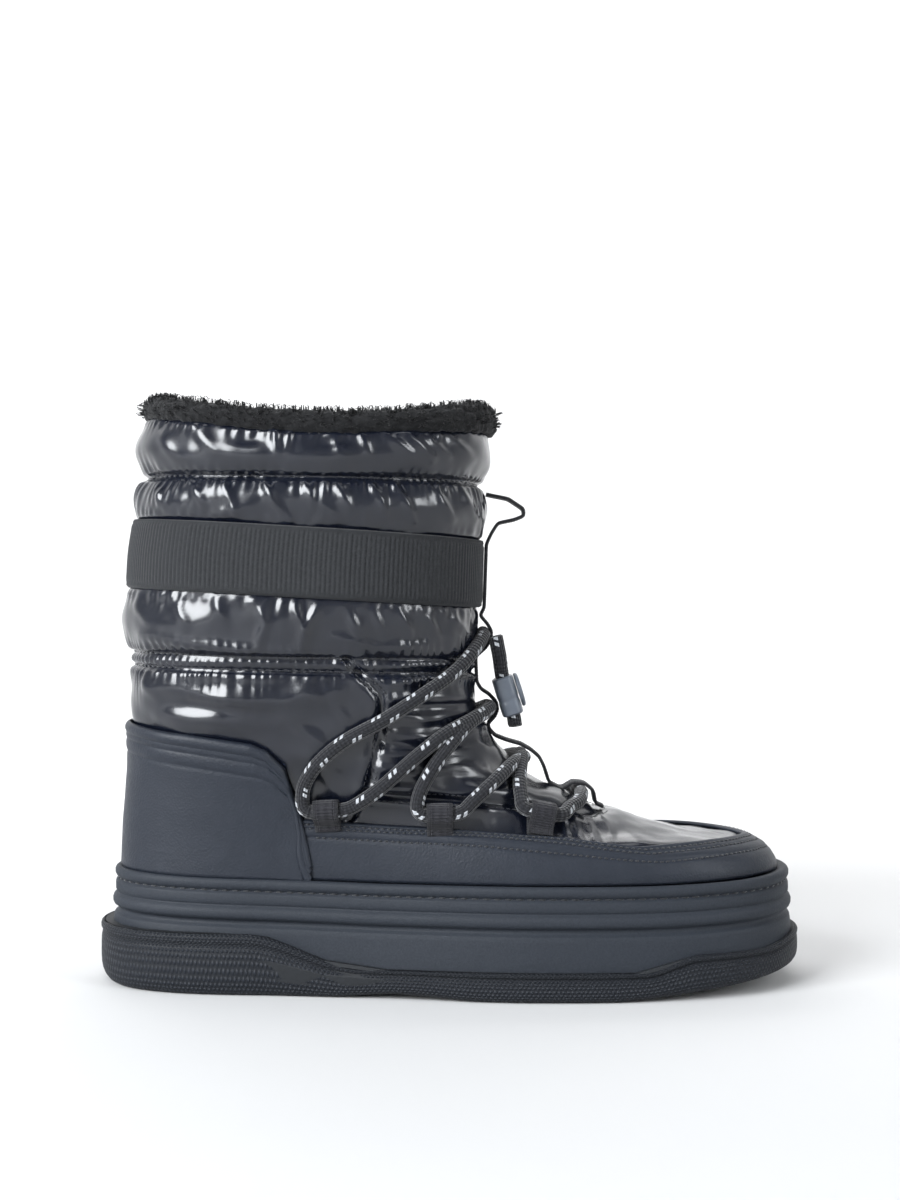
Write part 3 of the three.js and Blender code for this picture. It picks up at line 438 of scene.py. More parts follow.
# %% Wires and finishes
class Wire:
    """One value in a shader, with Python's own arithmetic."""

    def __init__(self, finish, socket):
        self.finish = finish
        self.socket = socket

    def sum(self, operation, *values):
        return self.finish.node("ShaderNodeMath", {"operation": operation}, dict(enumerate(values)))

    def __add__(self, other):
        return self.sum("ADD", self, other)

    def __radd__(self, other):
        return self.sum("ADD", other, self)

    def __sub__(self, other):
        return self.sum("SUBTRACT", self, other)

    def __rsub__(self, other):
        return self.sum("SUBTRACT", other, self)

    def __mul__(self, other):
        return self.sum("MULTIPLY", self, other)

    def __rmul__(self, other):
        return self.sum("MULTIPLY", other, self)

    def __truediv__(self, other):
        return self.sum("DIVIDE", self, other)

    def sine(self):
        return self.sum("SINE", self)

    def fract(self):
        return self.sum("FRACT", self)


class Finish:
    """A material with one main shader."""

    def __init__(self, name, **constants):
        self.material = bpy.data.materials.new(name)
        self.material.use_nodes = True
        self.tree = self.material.node_tree
        self.shader = self.tree.nodes["Principled BSDF"]
        for socket, value in constants.items():
            self.shader.inputs[socket.replace("_", " ")].default_value = value

    def node(self, kind, settings=None, inputs=None, output=0):
        made = self.tree.nodes.new(kind)
        for key, value in (settings or {}).items():
            setattr(made, key, value)
        for key, value in (inputs or {}).items():
            if isinstance(value, Wire):
                self.tree.links.new(value.socket, made.inputs[key])
            else:
                made.inputs[key].default_value = value
        return Wire(self, made.outputs[output])

    def place(self):
        return self.node("ShaderNodeTexCoord", output="Object")

    def cloth(self, axis):
        """One of the two measures along the piece's own sheet, in metres."""
        flat = self.node("ShaderNodeUVMap", {"uv_map": "cloth"})
        return self.node("ShaderNodeSeparateXYZ", {}, {0: flat}, output=axis)

    def noise(self, scale, detail):
        inputs = {"Vector": self.place(), "Scale": scale, "Detail": detail, "Roughness": 0.5}
        return self.node("ShaderNodeTexNoise", {}, inputs)

    def cells(self, scale):
        return self.node("ShaderNodeTexVoronoi", {"feature": "F1"},
                         {"Vector": self.place(), "Scale": scale})

    def blend(self, share, first, last):
        """A colour from first to last."""
        return self.node("ShaderNodeMix", {"data_type": "RGBA"}, {0: share, 6: first, 7: last}, output=2)

    def set(self, socket, value):
        self.tree.links.new(value.socket, self.shader.inputs[socket])

    def bump(self, height, depth):
        """Relief of a given depth in millimetres."""
        inputs = {"Height": height, "Distance": depth * MM, "Strength": 1.0}
        self.set("Normal", self.node("ShaderNodeBump", {}, inputs))


def shade(red, green, blue):
    return (red, green, blue, 1)


def coat(piece, finish):
    piece.data.materials.clear()
    piece.data.materials.append(finish.material)

# %% [markdown]
# ## Finishes
# Coated nylon is nearly black and very glossy, with a fine plain weave under the coat. Synthetic
# leather has a satin face with a fine pebble grain. Rubber and foam are matte, with fine specks.
# Webbing, grosgrain and braid get their look from the direction of their threads. The braid and the
# pebbled rubber also carry painted shade in their hollows and a painted highlight on their raised parts.

# %% Nylon
nylon = Finish("coated_nylon", Roughness=0.24, Coat_Weight=0.35, Coat_Roughness=0.12)
cloudy = nylon.noise(90, 3)
nylon.set("Base Color", nylon.blend(cloudy, shade(0.002, 0.003, 0.007), shade(0.006, 0.008, 0.015)))
nylon.set("Roughness", 0.19 + 0.08 * nylon.noise(60, 2))
nylon_thread = 0.00045
weft = nylon.cloth("X") * (2 * math.pi / nylon_thread)
warp = nylon.cloth("Y") * (2 * math.pi / nylon_thread)
threads = weft.sine() * warp.sine()
nylon.bump(0.4 * threads + nylon.noise(110, 2), 0.012)

# %% Leather
leather = Finish("grained_leather", Roughness=0.5, Specular_IOR_Level=0.3, Coat_Weight=0.05,
                 Coat_Roughness=0.3)
grain = leather.cells(1100)
patches = leather.noise(160, 3)
leather.set("Base Color", leather.blend(patches, shade(0.009, 0.012, 0.019), shade(0.015, 0.019, 0.028)))
leather.set("Roughness", 0.42 + 0.2 * leather.noise(500, 2))
leather.bump(grain + 0.6 * leather.noise(700, 3), 0.09)

# %% Moulded cup and rubber
foam = Finish("moulded_cup", Roughness=0.62, Specular_IOR_Level=0.3)
specks = foam.noise(1500, 1)
foam.set("Base Color", foam.blend(specks, shade(0.011, 0.014, 0.02), shade(0.023, 0.028, 0.037)))
foam.set("Roughness", 0.55 + 0.2 * foam.noise(900, 2))
foam.bump(specks + foam.noise(260, 2), 0.06)

rubber = Finish("pebbled_rubber", Roughness=0.6, Specular_IOR_Level=0.3)
pebble_pitch = 0.0017
column = rubber.cloth("X") / pebble_pitch
level = rubber.cloth("Y") / (0.87 * pebble_pitch)
level_number = level.sum("FLOOR", level)
shift = 0.5 * level_number.sum("MODULO", level_number, 2.0)
shifted = column + shift
from_side = shifted.fract() - 0.5
from_foot = level.fract() - 0.5
reach = from_side.sum("SQRT", from_side * from_side + from_foot * from_foot)
dome = (1 - 2.3 * reach).sum("MAXIMUM", 1 - 2.3 * reach, 0.0)
# The base colour is lighter on each pebble's top and darker between the pebbles: a painted highlight on the
# tops and painted shade in the hollows.
rubber.set("Base Color", rubber.blend(dome, shade(0.005, 0.0065, 0.01), shade(0.016, 0.02, 0.028)))
rubber.set("Roughness", 0.5 + 0.2 * rubber.noise(700, 2))
rubber.bump(dome, 0.5)

tread_rubber = Finish("tread_rubber", Roughness=0.65, Specular_IOR_Level=0.3)
tread_rubber.set("Base Color", tread_rubber.blend(tread_rubber.noise(600, 2), shade(0.008, 0.0092, 0.0113),
                                                  shade(0.0139, 0.016, 0.0193)))
tread_rubber.bump(tread_rubber.noise(900, 2), 0.08)

# %% Cloth finishes
grosgrain = Finish("ribbed_grosgrain", Roughness=0.75, Specular_IOR_Level=0.3, Sheen_Weight=0.1)
grosgrain.set("Base Color", grosgrain.blend(grosgrain.noise(700, 2), shade(0.0099, 0.0109, 0.0129),
                                            shade(0.0208, 0.0223, 0.0253)))
grosgrain_thread = 0.0005
rib_thread = grosgrain.cloth("Y") * (2 * math.pi / grosgrain_thread)
grosgrain.bump(rib_thread.sine() + grosgrain.noise(1500, 2), 0.06)

webbing = Finish("woven_webbing", Roughness=0.7, Specular_IOR_Level=0.3, Sheen_Weight=0.1)
webbing_bar, webbing_thread = 0.0011, 0.0007
bar_thread = webbing.cloth("Y") * (2 * math.pi / webbing_bar)
fine_thread = webbing.cloth("X") * (2 * math.pi / webbing_thread)
weave = bar_thread.sine() + fine_thread.sine()
webbing.set("Base Color", webbing.blend(webbing.noise(500, 2), shade(0.006, 0.006, 0.009),
                                        shade(0.017, 0.017, 0.022)))
webbing.bump(weave, 0.14)

braid = Finish("round_braid", Roughness=0.72, Sheen_Weight=0.2, Specular_IOR_Level=0.25)
round_share = braid.cloth("X") / (2 * math.pi * cord_radius * MM)
along = braid.cloth("Y")
braid_strands, braid_pitch, fleck_pitch = 8, 0.0032, 0.0155
left_twist = 2 * math.pi * (braid_strands * round_share + along / braid_pitch)
right_twist = 2 * math.pi * (braid_strands * round_share - along / braid_pitch)
plait = left_twist.sine() * right_twist.sine()
fleck_way = along / fleck_pitch + 0.5 * round_share
fleck_near = fleck_way.fract()
first_fleck = fleck_near.sum("LESS_THAN", fleck_near, 0.09)
past_gap = fleck_near.sum("GREATER_THAN", fleck_near, 0.16)
second_fleck = past_gap * fleck_near.sum("LESS_THAN", fleck_near, 0.25)
fleck_band = first_fleck + second_fleck
around_way = 4 * round_share
stripe = around_way.fract()
fleck = fleck_band * stripe.sum("LESS_THAN", stripe, 0.42)
# The dark strands are lighter where the plait stands up and darker where it sinks: painted shade in the
# hollows between the strands, following the bump.
dark = braid.blend(0.5 + 0.5 * plait, shade(0.003, 0.003, 0.005), shade(0.012, 0.013, 0.017))
braid.set("Base Color", braid.blend(fleck * 0.85, dark, shade(0.5, 0.52, 0.55)))
braid.bump(plait, 0.22)

fur = Finish("sherpa_pile", Roughness=0.85, Specular_IOR_Level=0.25, Sheen_Weight=0.08, Sheen_Roughness=0.5)
fur.set("Base Color", fur.blend(fur.noise(700, 3), shade(0.0021, 0.0021, 0.0024),
                                shade(0.0084, 0.0087, 0.0098)))
fur.bump(fur.noise(1400, 3), 0.4)

plastic = Finish("satin_plastic", Roughness=0.38)
plastic.set("Base Color", plastic.blend(plastic.noise(300, 2), shade(0.09, 0.105, 0.13),
                                        shade(0.115, 0.132, 0.16)))
plastic.bump(plastic.noise(1800, 2), 0.02)

thread_finish = Finish("sewing_thread", Roughness=0.55, Sheen_Weight=0.2)
thread_finish.set("Base Color", thread_finish.blend(thread_finish.noise(900, 1), shade(0.003, 0.004, 0.006),
                                                    shade(0.011, 0.013, 0.018)))

footbed = Finish("footbed_pile", Roughness=0.95)
footbed.set("Base Color", footbed.blend(footbed.noise(800, 3), shade(0.006, 0.006, 0.007),
                                        shade(0.018, 0.018, 0.02)))
footbed.bump(footbed.noise(1800, 2), 0.15)

for piece in [lock_barrel, lock_button]:
    coat(piece, plastic)
for piece in cord_pieces.values():
    coat(piece, braid)

# %% [markdown]
# ## Soft troughs and ridges
# Padded nylon catches the light on its folds. Three kinds are added up here: the pull of each quilt
# seam, the gathers that hang from a seam because the cloth was cut longer than the lining, and the
# main creases, each placed one by one at its own length and height on the boot.

# %% Relief of the nylon
def ripple(way, period, seed, total=420):
    """A soft random number from 0 to 1 along a way, repeating after the total."""
    source = random.Random(seed)
    count = max(4, round(total / period))
    table = np.array([source.random() for _ in range(count)] * 2)
    at = (way % total) / total * count
    low = np.floor(at).astype(int) % count
    share = at - np.floor(at)
    share = share * share * (3 - 2 * share)
    return table[low] * (1 - share) + table[low + 1] * share


def girth(turn):
    """Distance round the shaft at a turn, in millimetres."""
    fine = np.linspace(-math.pi, math.pi, 721)
    ring = body_point(fine, 16.0)
    way = walked(ring)
    return np.interp((turn + math.pi) % (2 * math.pi) - math.pi, fine, way), way[-1]


def gathers(way, gap, pitch, reach, height, seed):
    """Pleats that leave a seam and die out with the gap from it."""
    phase = 1.1 * ripple(way, 2.3 * pitch, seed)
    size = 0.35 + 0.65 * ripple(way, 1.7 * pitch, seed + 1)
    run = reach * (0.35 + 1.1 * ripple(way, 3.1 * pitch, seed + 2))
    pleat = 0.5 + 0.5 * np.cos(2 * math.pi * (way / pitch + phase))
    start = 1 - np.exp(-(gap / 1.1) ** 2)
    return 1.5 * height * size * pleat * start * np.exp(-(gap / run) ** 2)


# Points (length, height), then width and height of the ridge; a negative height is a trough
creases = [
    # top tube
    ([(-66, 217), (-64, 206)], 1.7, 0.8), ([(-59.5, 216), (-60.5, 207)], 1.5, 0.7),
    ([(-24, 212), (-15, 206)], 1.6, 0.8), ([(-17, 213), (-7, 205)], 1.7, 0.9),
    ([(-10, 212), (-1, 206)], 1.5, 0.7), ([(-96, 216), (-88, 207)], 2.4, 0.7),
    ([(-110, 214), (-104, 205)], 2.2, 0.6), ([(-44, 214), (-40, 205)], 2.0, 0.6),
    ([(-33, 213), (-30, 204)], 1.6, 0.6), ([(-80, 211), (-70, 211)], 3.0, -0.6),
    ([(0, 212), (8, 206)], 1.8, 0.7), ([(-52, 209), (-36, 210)], 2.6, -0.5),
    # second tube
    ([(-69.5, 196), (-66, 188), (-60, 181)], 1.7, 1.0), ([(-54, 196), (-51, 186)], 1.5, 0.9),
    ([(-30, 195), (-26, 188), (-24, 181)], 1.5, 0.9), ([(-20.7, 194), (-17, 188), (-14, 181)], 1.6, 1.0),
    ([(-97, 195), (-92, 187)], 1.8, 0.8), ([(-112, 194), (-108, 186)], 1.8, 0.7),
    ([(-84, 194), (-80, 184)], 1.7, 0.7), ([(-42, 194), (-37, 184)], 1.6, 0.8),
    ([(-6, 193), (0, 182)], 1.6, 0.8), ([(-75, 186), (-88, 183)], 2.2, 0.5),
    ([(-48, 187), (-40, 181)], 1.7, 0.6), ([(4, 192), (9, 183)], 1.6, 0.7),
    # ankle tube under the band
    ([(-58, 149), (-54.5, 139)], 1.6, 0.9), ([(-49, 149), (-54.5, 139)], 1.6, 0.9),
    ([(-54.5, 139), (-56, 132)], 2.0, 0.8), ([(-71.8, 151), (-69, 142), (-72, 134)], 1.9, 0.9),
    ([(-119, 137.5), (-96, 134), (-70, 131.5), (-46, 131)], 2.3, 0.9),
    ([(-104, 150), (-99, 142)], 1.8, 0.7), ([(-88, 151), (-84, 141)], 1.9, 0.7),
    ([(-121, 149), (-116, 143)], 1.8, 0.6), ([(-38, 147), (-35, 139)], 1.5, 0.8),
    ([(-29, 147), (-25, 138)], 1.5, 0.8), ([(-19, 146), (-15, 138)], 1.5, 0.8),
    ([(-9, 145), (-5, 137)], 1.5, 0.7), ([(1, 144), (6, 137)], 1.5, 0.7),
    ([(-44, 137), (-28, 133), (-10, 134)], 2.0, 0.7),
    # quarter panel
    ([(-116, 118), (-90, 114), (-64, 113), (-44, 116)], 3.2, 1.0),
    ([(-112, 107), (-88, 104.5), (-66, 103.5)], 3.0, 0.8),
    ([(-100, 111.5), (-76, 109)], 2.2, -0.6), ([(-62, 106), (-50, 97), (-42, 88)], 2.6, 0.8),
    ([(-55, 117), (-42, 108), (-35, 98)], 2.4, 0.7), ([(-54, 92), (-46, 82), (-42, 74)], 2.6, 0.7),
    ([(-120, 122), (-112, 112)], 2.2, 0.5), ([(-46, 110), (-38, 100)], 2.0, -0.5),
    # front of the ankle, out of the quarter seam
    ([(-24, 119), (-8, 121), (8, 120)], 1.7, 0.9), ([(-24, 113), (-10, 113.5), (10, 113)], 1.8, 1.0),
    ([(-24, 107), (-10, 105), (9, 107)], 1.7, 0.9), ([(-24, 100), (-8, 98), (13, 100.5)], 1.8, 1.0),
    ([(-26, 93), (-12, 91), (12, 93)], 1.8, 0.9), ([(-27, 87), (-12, 84), (10, 87)], 1.7, 0.8),
    ([(-29, 80), (-14, 79.5), (2, 82)], 1.7, 0.7), ([(-22, 126), (-6, 127), (8, 126)], 1.8, 0.8),
    ([(-25, 110), (-12, 109.5), (4, 110)], 1.4, -0.6), ([(-25, 96.5), (-10, 94.5), (10, 96.5)], 1.4, -0.6),
    ([(10, 96), (20, 90), (30, 84)], 2.0, 0.7), ([(6, 86), (18, 82), (30, 79)], 2.0, 0.6),
    # vamp and toe box
    ([(2, 80), (16, 77.5), (30, 75.5)], 2.2, 0.7), ([(38, 76), (50, 73)], 2.2, 0.6),
    ([(43, 67), (45, 60)], 1.4, 1.0), ([(47.5, 66.5), (50, 59.5)], 1.4, 1.0),
    ([(52.5, 66), (55.5, 59)], 1.5, 0.9), ([(58, 66), (62, 60)], 1.6, 0.8),
    ([(37.5, 67), (39, 61.5)], 1.5, 0.8), ([(26, 69), (27, 63.5)], 1.5, 0.7),
    ([(14, 71), (15, 65)], 1.5, 0.7), ([(68, 64), (80, 61), (94, 59)], 3.2, 0.8),
]
toe_seam = [(-31, 76.5), (-11, 75), (-4.5, 74.8), (22, 72.4), (39, 69.8), (55, 67.4), (64, 68), (73, 67)]
quarter_seam = [(-39, 128.5), (-33, 122), (-26, 115), (-26, 101), (-29, 88), (-31, 80), (-39, 66)]
counter_top = [(-131, 103), (-100.8, 99.2), (-76, 95.7), (-70.5, 93.4), (-64, 86.6), (-61, 78),
               (-57.7, 68), (-54.6, 55.4), (-53.6, 49.5)]
mudguard_top = [(-60.5, 67.2), (-43, 66), (-25, 64.7), (-12, 64), (3.7, 63), (39, 59.5), (72, 56),
                (89.6, 56.2), (100.8, 56.2), (112, 55.9), (119.5, 55.4)]


def way_to(x, z, points):
    """Distance in side view to a line through points, and the share of the line where it is nearest."""
    nearest = np.full(x.shape, 1e9)
    share = np.zeros(x.shape)
    points = np.array(points, float)
    lengths = np.linalg.norm(np.diff(points, axis=0), axis=1)
    total = lengths.sum()
    walked = 0
    for start, end, length in zip(points[:-1], points[1:], lengths):
        step = (end - start) / length
        along_line = np.clip((x - start[0]) * step[0] + (z - start[1]) * step[1], 0, length)
        gap = np.hypot(x - start[0] - step[0] * along_line, z - start[1] - step[1] * along_line)
        closer = gap < nearest
        nearest = np.where(closer, gap, nearest)
        share = np.where(closer, (walked + along_line) / total, share)
        walked += length
    return nearest, share


def soft_noise(points, size, seed):
    shift = Vector((seed * 17.3, seed * 5.1, seed * 9.7))
    return np.array([noise.noise(Vector(point) / size + shift) for point in points.tolist()])


def nylon_relief(turn, row, point):
    x, z = point[..., 0], point[..., 2]
    way, total = girth(turn)
    row_height = np.linalg.norm(body_point(turn, np.minimum(row + 0.25, 21))
                                - body_point(turn, np.maximum(row - 0.25, 0)), axis=-1) / 0.5
    relief = np.zeros(x.shape)
    # Quilt seams and the fullness of the tubes between them
    for line in (channel_row - channel_half, channel_row + channel_half, seam_row):
        relief -= 1.5 * np.exp(-((row - line) * row_height / 1.0) ** 2)
        relief -= 0.6 * np.exp(-((row - line) * row_height / 3.2) ** 2)
    for low, high, fullness in ((13.19, 15, 0.9), (17, 19, 0.9), (19, 21, 1.0)):
        share = np.clip((row - low) / (high - low), 0, 1)
        relief += fullness * np.sin(math.pi * share) ** 0.8 * (share > 0) * (share < 1)
    # Gathers
    lines = [(seam_row, -1, 4.1, 7.5, 1.2, 11), (seam_row, 1, 4.6, 4.5, 0.8, 21),
             (channel_row - channel_half, -1, 4.4, 5.0, 0.8, 31),
             (channel_row + channel_half, 1, 4.2, 5.5, 0.9, 41),
             (band_high_row, 1, 5.2, 4.0, 0.5, 51), (band_low_row, -1, 5.6, 5.0, 0.7, 61),
             (collar_row, -1, 4.8, 4.5, 0.7, 71)]
    for line, direction, pitch, reach, height, seed in lines:
        gap = (row - line) * direction * row_height
        relief += np.where(gap > 0, gathers(way, np.maximum(gap, 0), pitch, reach, height, seed), 0)
    in_channel = np.exp(-((row - channel_row) / 0.1) ** 4)
    pillow_pitch = total / round(total / 3.6)
    relief += in_channel * (0.9 * np.abs(np.sin(math.pi * way / pillow_pitch)) ** 0.7 - 0.5)
    # Creases placed one by one, the same on the inner side but a little lower and further back
    inner = point[..., 1] > 0
    seen_x = np.where(inner, x + 3, x)
    seen_z = np.where(inner, z + 1.5, z)
    for points, width, height in creases:
        near_box = ((seen_x > min(p[0] for p in points) - 3 * width)
                    & (seen_x < max(p[0] for p in points) + 3 * width)
                    & (seen_z > min(p[1] for p in points) - 3 * width)
                    & (seen_z < max(p[1] for p in points) + 3 * width))
        if not near_box.any():
            continue
        gap, share = way_to(seen_x[near_box], seen_z[near_box], points)
        relief[near_box] += 1.6 * height * np.exp(-(gap / width) ** 2) * (0.5 + 0.5 * np.sin(math.pi * share))
    # Sewn seams of the vamp
    for points, top in ((toe_seam, 80), (quarter_seam, 130)):
        gap, _share = way_to(x, z, points)
        relief -= np.where(z < top, 1.7 * np.exp(-(gap / 1.3) ** 2), 0)
        relief += np.where(z < top, 0.7 * np.exp(-((gap - 3.2) / 1.7) ** 2), 0)
    # Uneven fill
    relief += 1.15 * soft_noise(point * (1, 1, 1.5), 19, 1) + 0.5 * soft_noise(point, 8.5, 2)
    # Flat under what lies on it
    under_band = smooth(row, 14.93, 15.03) * (1 - smooth(row, 16.97, 17.07))
    relief = relief * (1 - under_band) - 0.4 * under_band
    cover_x = [spot[0] for spot in counter_top[:-1] + mudguard_top]
    order = np.argsort(cover_x)
    cover = np.interp(x, np.array(cover_x)[order],
                      np.array([spot[1] for spot in counter_top[:-1] + mudguard_top])[order])
    under_leather = 1 - smooth(z, cover - 1.5, cover + 1.2)
    relief = relief * (1 - under_leather) + (np.minimum(relief, 0) * 0.3 - 0.25) * under_leather
    return relief


# %% Nylon upper
outer_rows = np.concatenate([np.linspace(0, 1, 4)[:-1], np.linspace(1, 12.5, 92)[:-1],
                             np.linspace(12.5, 13.5, 15)[:-1], np.linspace(13.5, 21, 84)])
inner_rows = np.linspace(21, 0, 22)
upper_rows = np.concatenate([outer_rows, inner_rows, [0]])
upper_inside = np.concatenate([np.zeros(len(outer_rows), bool), np.ones(len(inner_rows), bool), [False]])
upper_levels = len(upper_rows) - 1


def upper_place(u, v):
    index = np.rint(v * upper_levels).astype(int)
    row = upper_rows[index]
    inside = upper_inside[index]
    turn = 2 * math.pi * u
    point = body_point(turn, row)
    relief = nylon_relief(turn, row, point)
    return point + body_normal(turn, row) * np.where(inside, -wall, relief)[:, None]


upper_piece = sheet("nylon_upper", 440, upper_levels, upper_place, (400, 215), (True, True),
                    ["upper"])
coat(upper_piece, nylon)
upper_piece.data.materials.append(footbed.material)
inside_share = len(outer_rows) / upper_levels
cloth_map = upper_piece.data.uv_layers["cloth"].data
for face in upper_piece.data.polygons:
    middle = sum(cloth_map[index].uv[1] for index in face.loop_indices) / 4
    if middle > inside_share * 215 * MM:
        face.material_index = 1

# %% [markdown]
# ## Leather overlays
# The heel counter and the mudguard are cut from flat synthetic leather and sewn over the nylon. Each
# is a sheet laid between two lines on the boot: a foot that runs down inside the cup's rim, and a top
# edge. The face is pressed in along its rows of stitching and turns down at its cut edge.

# %% Leather sheets
counter_thickness, guard_thickness = 1.9, 1.6
rim_height, rim_heel_rise, rim_toe_rise = 43, 2.5, 1.8
stitch_rows = (2.4, 4.6, 9.2)


def rim_line(x):
    share = x / sole_half
    return (rim_height + rim_heel_rise * np.clip((-share - 0.2) / 0.8, 0, 1)
            + rim_toe_rise * np.clip((share - 0.5) / 0.5, 0, 1) ** 1.6)


def half_line(points, from_centre=None):
    """Turns and rows at even steps of real length along a line given in side view."""
    points = np.array(points, float)
    fine = []
    for start, end in zip(points[:-1], points[1:]):
        fine.extend(lerp(start, end, share) for share in np.arange(0, 1, 0.05))
    fine.append(points[-1])
    fine = np.array(fine)
    turn, row = body_place(fine[:, 0], fine[:, 1], 1)
    if from_centre is not None:
        start_turn, start_row = from_centre
        steps = np.linspace(0, 1, 40)[:-1]
        turn = np.concatenate([lerp(start_turn, turn[0], steps), turn])
        row = np.concatenate([lerp(start_row, row[0], steps), row])
    place = body_point(turn, row)
    length = walked(place)
    return turn, row, length


def at_share(line, share):
    turn, row, length = line
    at = share * length[-1]
    return np.interp(at, length, turn), np.interp(at, length, row)


def leather_place(top, foot, thickness):
    """Lays a sheet between a foot line and a top line, each from the boot's middle to one end."""
    def place(u, v):
        share = np.abs(2 * u - 1)
        side = np.where(u < 0.5, -1.0, 1.0)
        along = 1 - (1 - v) ** 1.35
        top_turn, top_row = at_share(top, share)
        foot_turn, foot_row = at_share(foot, share)
        turn = lerp(foot_turn, top_turn, along)
        row = lerp(foot_row, top_row, along)
        drop = np.linalg.norm(body_point(top_turn, top_row) - body_point(foot_turn, foot_row), axis=1)
        gap = (1 - along) * drop
        end_gap = (1 - share) * top[2][-1]
        edge = np.minimum(gap, end_gap + 0.9)
        fall = round_over(edge, 1.3)
        height = clearance + thickness * (0.15 + 0.85 * fall)
        for stitch_row in stitch_rows:
            height = height - 0.4 * np.exp(-((gap - stitch_row) / 0.6) ** 2)
        height = height + 0.22 * np.exp(-((gap - 6.9) / 1.6) ** 2)
        turn = turn * side
        point = body_point(turn, row)
        swell = 0.25 * soft_noise(point, 22, 5)
        return point + body_normal(turn, row) * (height + swell)[:, None]
    return place


counter_foot_points = [(x, rim_line(x) + 0.1) for x in np.linspace(-129, -53.2, 20)]
counter_top_line = half_line(counter_top[1:], (math.pi, body_place(-129.5, 102.5, 1)[1]))
counter_foot_line = half_line(counter_foot_points[4:], (math.pi, body_place(-128.8, 45.4, 1)[1]))
counter_place = leather_place(counter_top_line, counter_foot_line, counter_thickness)
counter = sheet("heel_leather", 340, 64, counter_place, (300, 58), (False, False),
                ["heel_counter"], thick=1.0)
coat(counter, leather)

guard_top_line = half_line(mudguard_top[::-1][1:], (0.0, 4.12))
guard_foot_points = [(x, rim_line(x) + 0.1) for x in np.linspace(120, -56.5, 40)]
guard_foot_line = half_line(guard_foot_points, (0.0, 1.05))
guard_place = leather_place(guard_top_line, guard_foot_line, guard_thickness)
guard = sheet("mudguard_leather", 520, 40, guard_place, (420, 24), (False, False),
              ["mudguard"], thick=1.0)
coat(guard, leather)

# %% [markdown]
# ## Ribbed band
# The band is grosgrain: close upright ribs between two knitted selvedges. Its ribs are real relief,
# because they show in the outline against the light.

# %% Band
band_thickness = 1.5
rib_pitch = 1.8
selvedge = 2.4
face_share = 0.86


def band_place(u, v):
    turn = 2 * math.pi * u
    outside = v < face_share
    level = np.clip(v / face_share, 0, 1)
    row = np.where(outside, lerp(band_low_row, band_high_row, level),
                   lerp(band_high_row, band_low_row, (v - face_share) / (1 - face_share)))
    way, total = girth(turn)
    ribs = round(total / rib_pitch)
    height = np.linalg.norm(body_point(turn, band_high_row) - body_point(turn, band_low_row), axis=-1)
    edge = np.minimum(level, 1 - level) * height
    in_selvedge = 1 - smooth(edge, selvedge - 0.4, selvedge + 0.3)
    rib = np.abs(np.cos(math.pi * way / (total / ribs))) ** 0.6
    knit = 0.5 + 0.5 * np.cos(2 * math.pi * (way / (total / (2 * ribs))) + 5 * edge)
    relief = lerp(0.45 * rib, 0.3 * knit - 0.1, in_selvedge)
    relief = relief - 0.35 * np.exp(-((edge - selvedge) / 0.3) ** 2)
    corner = round_over(edge, 0.7)
    face = clearance + band_thickness * (0.35 + 0.65 * corner) - 0.35 + relief
    wave = 0.25 * np.sin(way / 23.0) + 0.2 * np.sin(way / 9.0 + 2)
    return body_offset(turn, row, np.where(outside, face + wave * 0.4, 0.1))


band = sheet("ribbed_band", 1320, 34, band_place, (395, 30), (True, True), ["shaft_band"])
coat(band, grosgrain)

# %% [markdown]
# ## Fur collar
# Sherpa is knitted pile whose hairs curl into small nubs. A thick roll follows the mouth of the boot;
# its face is raised into nubs by cell noise, and 2500 short curled locks stand on it.

# %% Fur
fur_section = [(-1.62, -1.9), (-1.66, -0.9), (-1.7, 0), (-1.45, 0.62), (-0.85, 0.93), (-0.15, 0.82),
               (0.18, 0.46), (0.05, 0.08), (-0.35, -0.06), (-0.62, -0.5), (-0.62, -1.9)]
fur_thickness, fur_stand, fur_front_rise, fur_front_lean = 5, 8, 3.5, 0.6


def fur_point(turn, out, up):
    front = np.maximum(0, np.cos(turn)) ** 3
    lean = out + fur_front_lean * front * np.clip(1 + out, 0, 1)
    point = body_offset(turn, np.full(turn.shape, float(collar_row)), lean * fur_thickness)
    stand = fur_stand + fur_front_rise * front * (up > 0)
    point[:, 2] = body_point(turn, np.full(turn.shape, float(collar_row)))[:, 2] + up * stand
    return point


fur_profile, _length = smooth_route([(out, up, 0) for out, up in fur_section], 0.04)
fur_profile = np.vstack([fur_profile, fur_profile[:1]])
fur_levels = len(fur_profile) - 1


def fur_surface(turn, index):
    return fur_point(turn, fur_profile[index, 0], fur_profile[index, 1])


def fur_place(u, v):
    turn = 2 * math.pi * u
    index = np.rint(v * fur_levels).astype(int)
    point = fur_surface(turn, index)
    before = fur_surface(turn, np.maximum(index - 1, 0))
    after = fur_surface(turn, np.minimum(index + 1, fur_levels))
    step = 0.01
    across = fur_surface(turn + step, index) - fur_surface(turn - step, index)
    normal = np.cross(after - before, across)
    normal /= np.linalg.norm(normal, axis=1, keepdims=True) + 1e-9
    centre = fur_point(turn, np.full(turn.shape, -0.75), np.full(turn.shape, 0.2))
    inward = np.sum(normal * (point - centre), axis=1) < 0
    normal[inward] *= -1
    seam = np.minimum(v, 1 - v) > 0.02
    nubs = np.array([noise.voronoi(Vector(spot) / 3.1)[0][0] for spot in point.tolist()])
    fine = soft_noise(point, 1.3, 9)
    lift = (1.5 * (0.62 - nubs) + 0.5 * fine + 0.5) * seam
    return point + normal * lift[:, None]


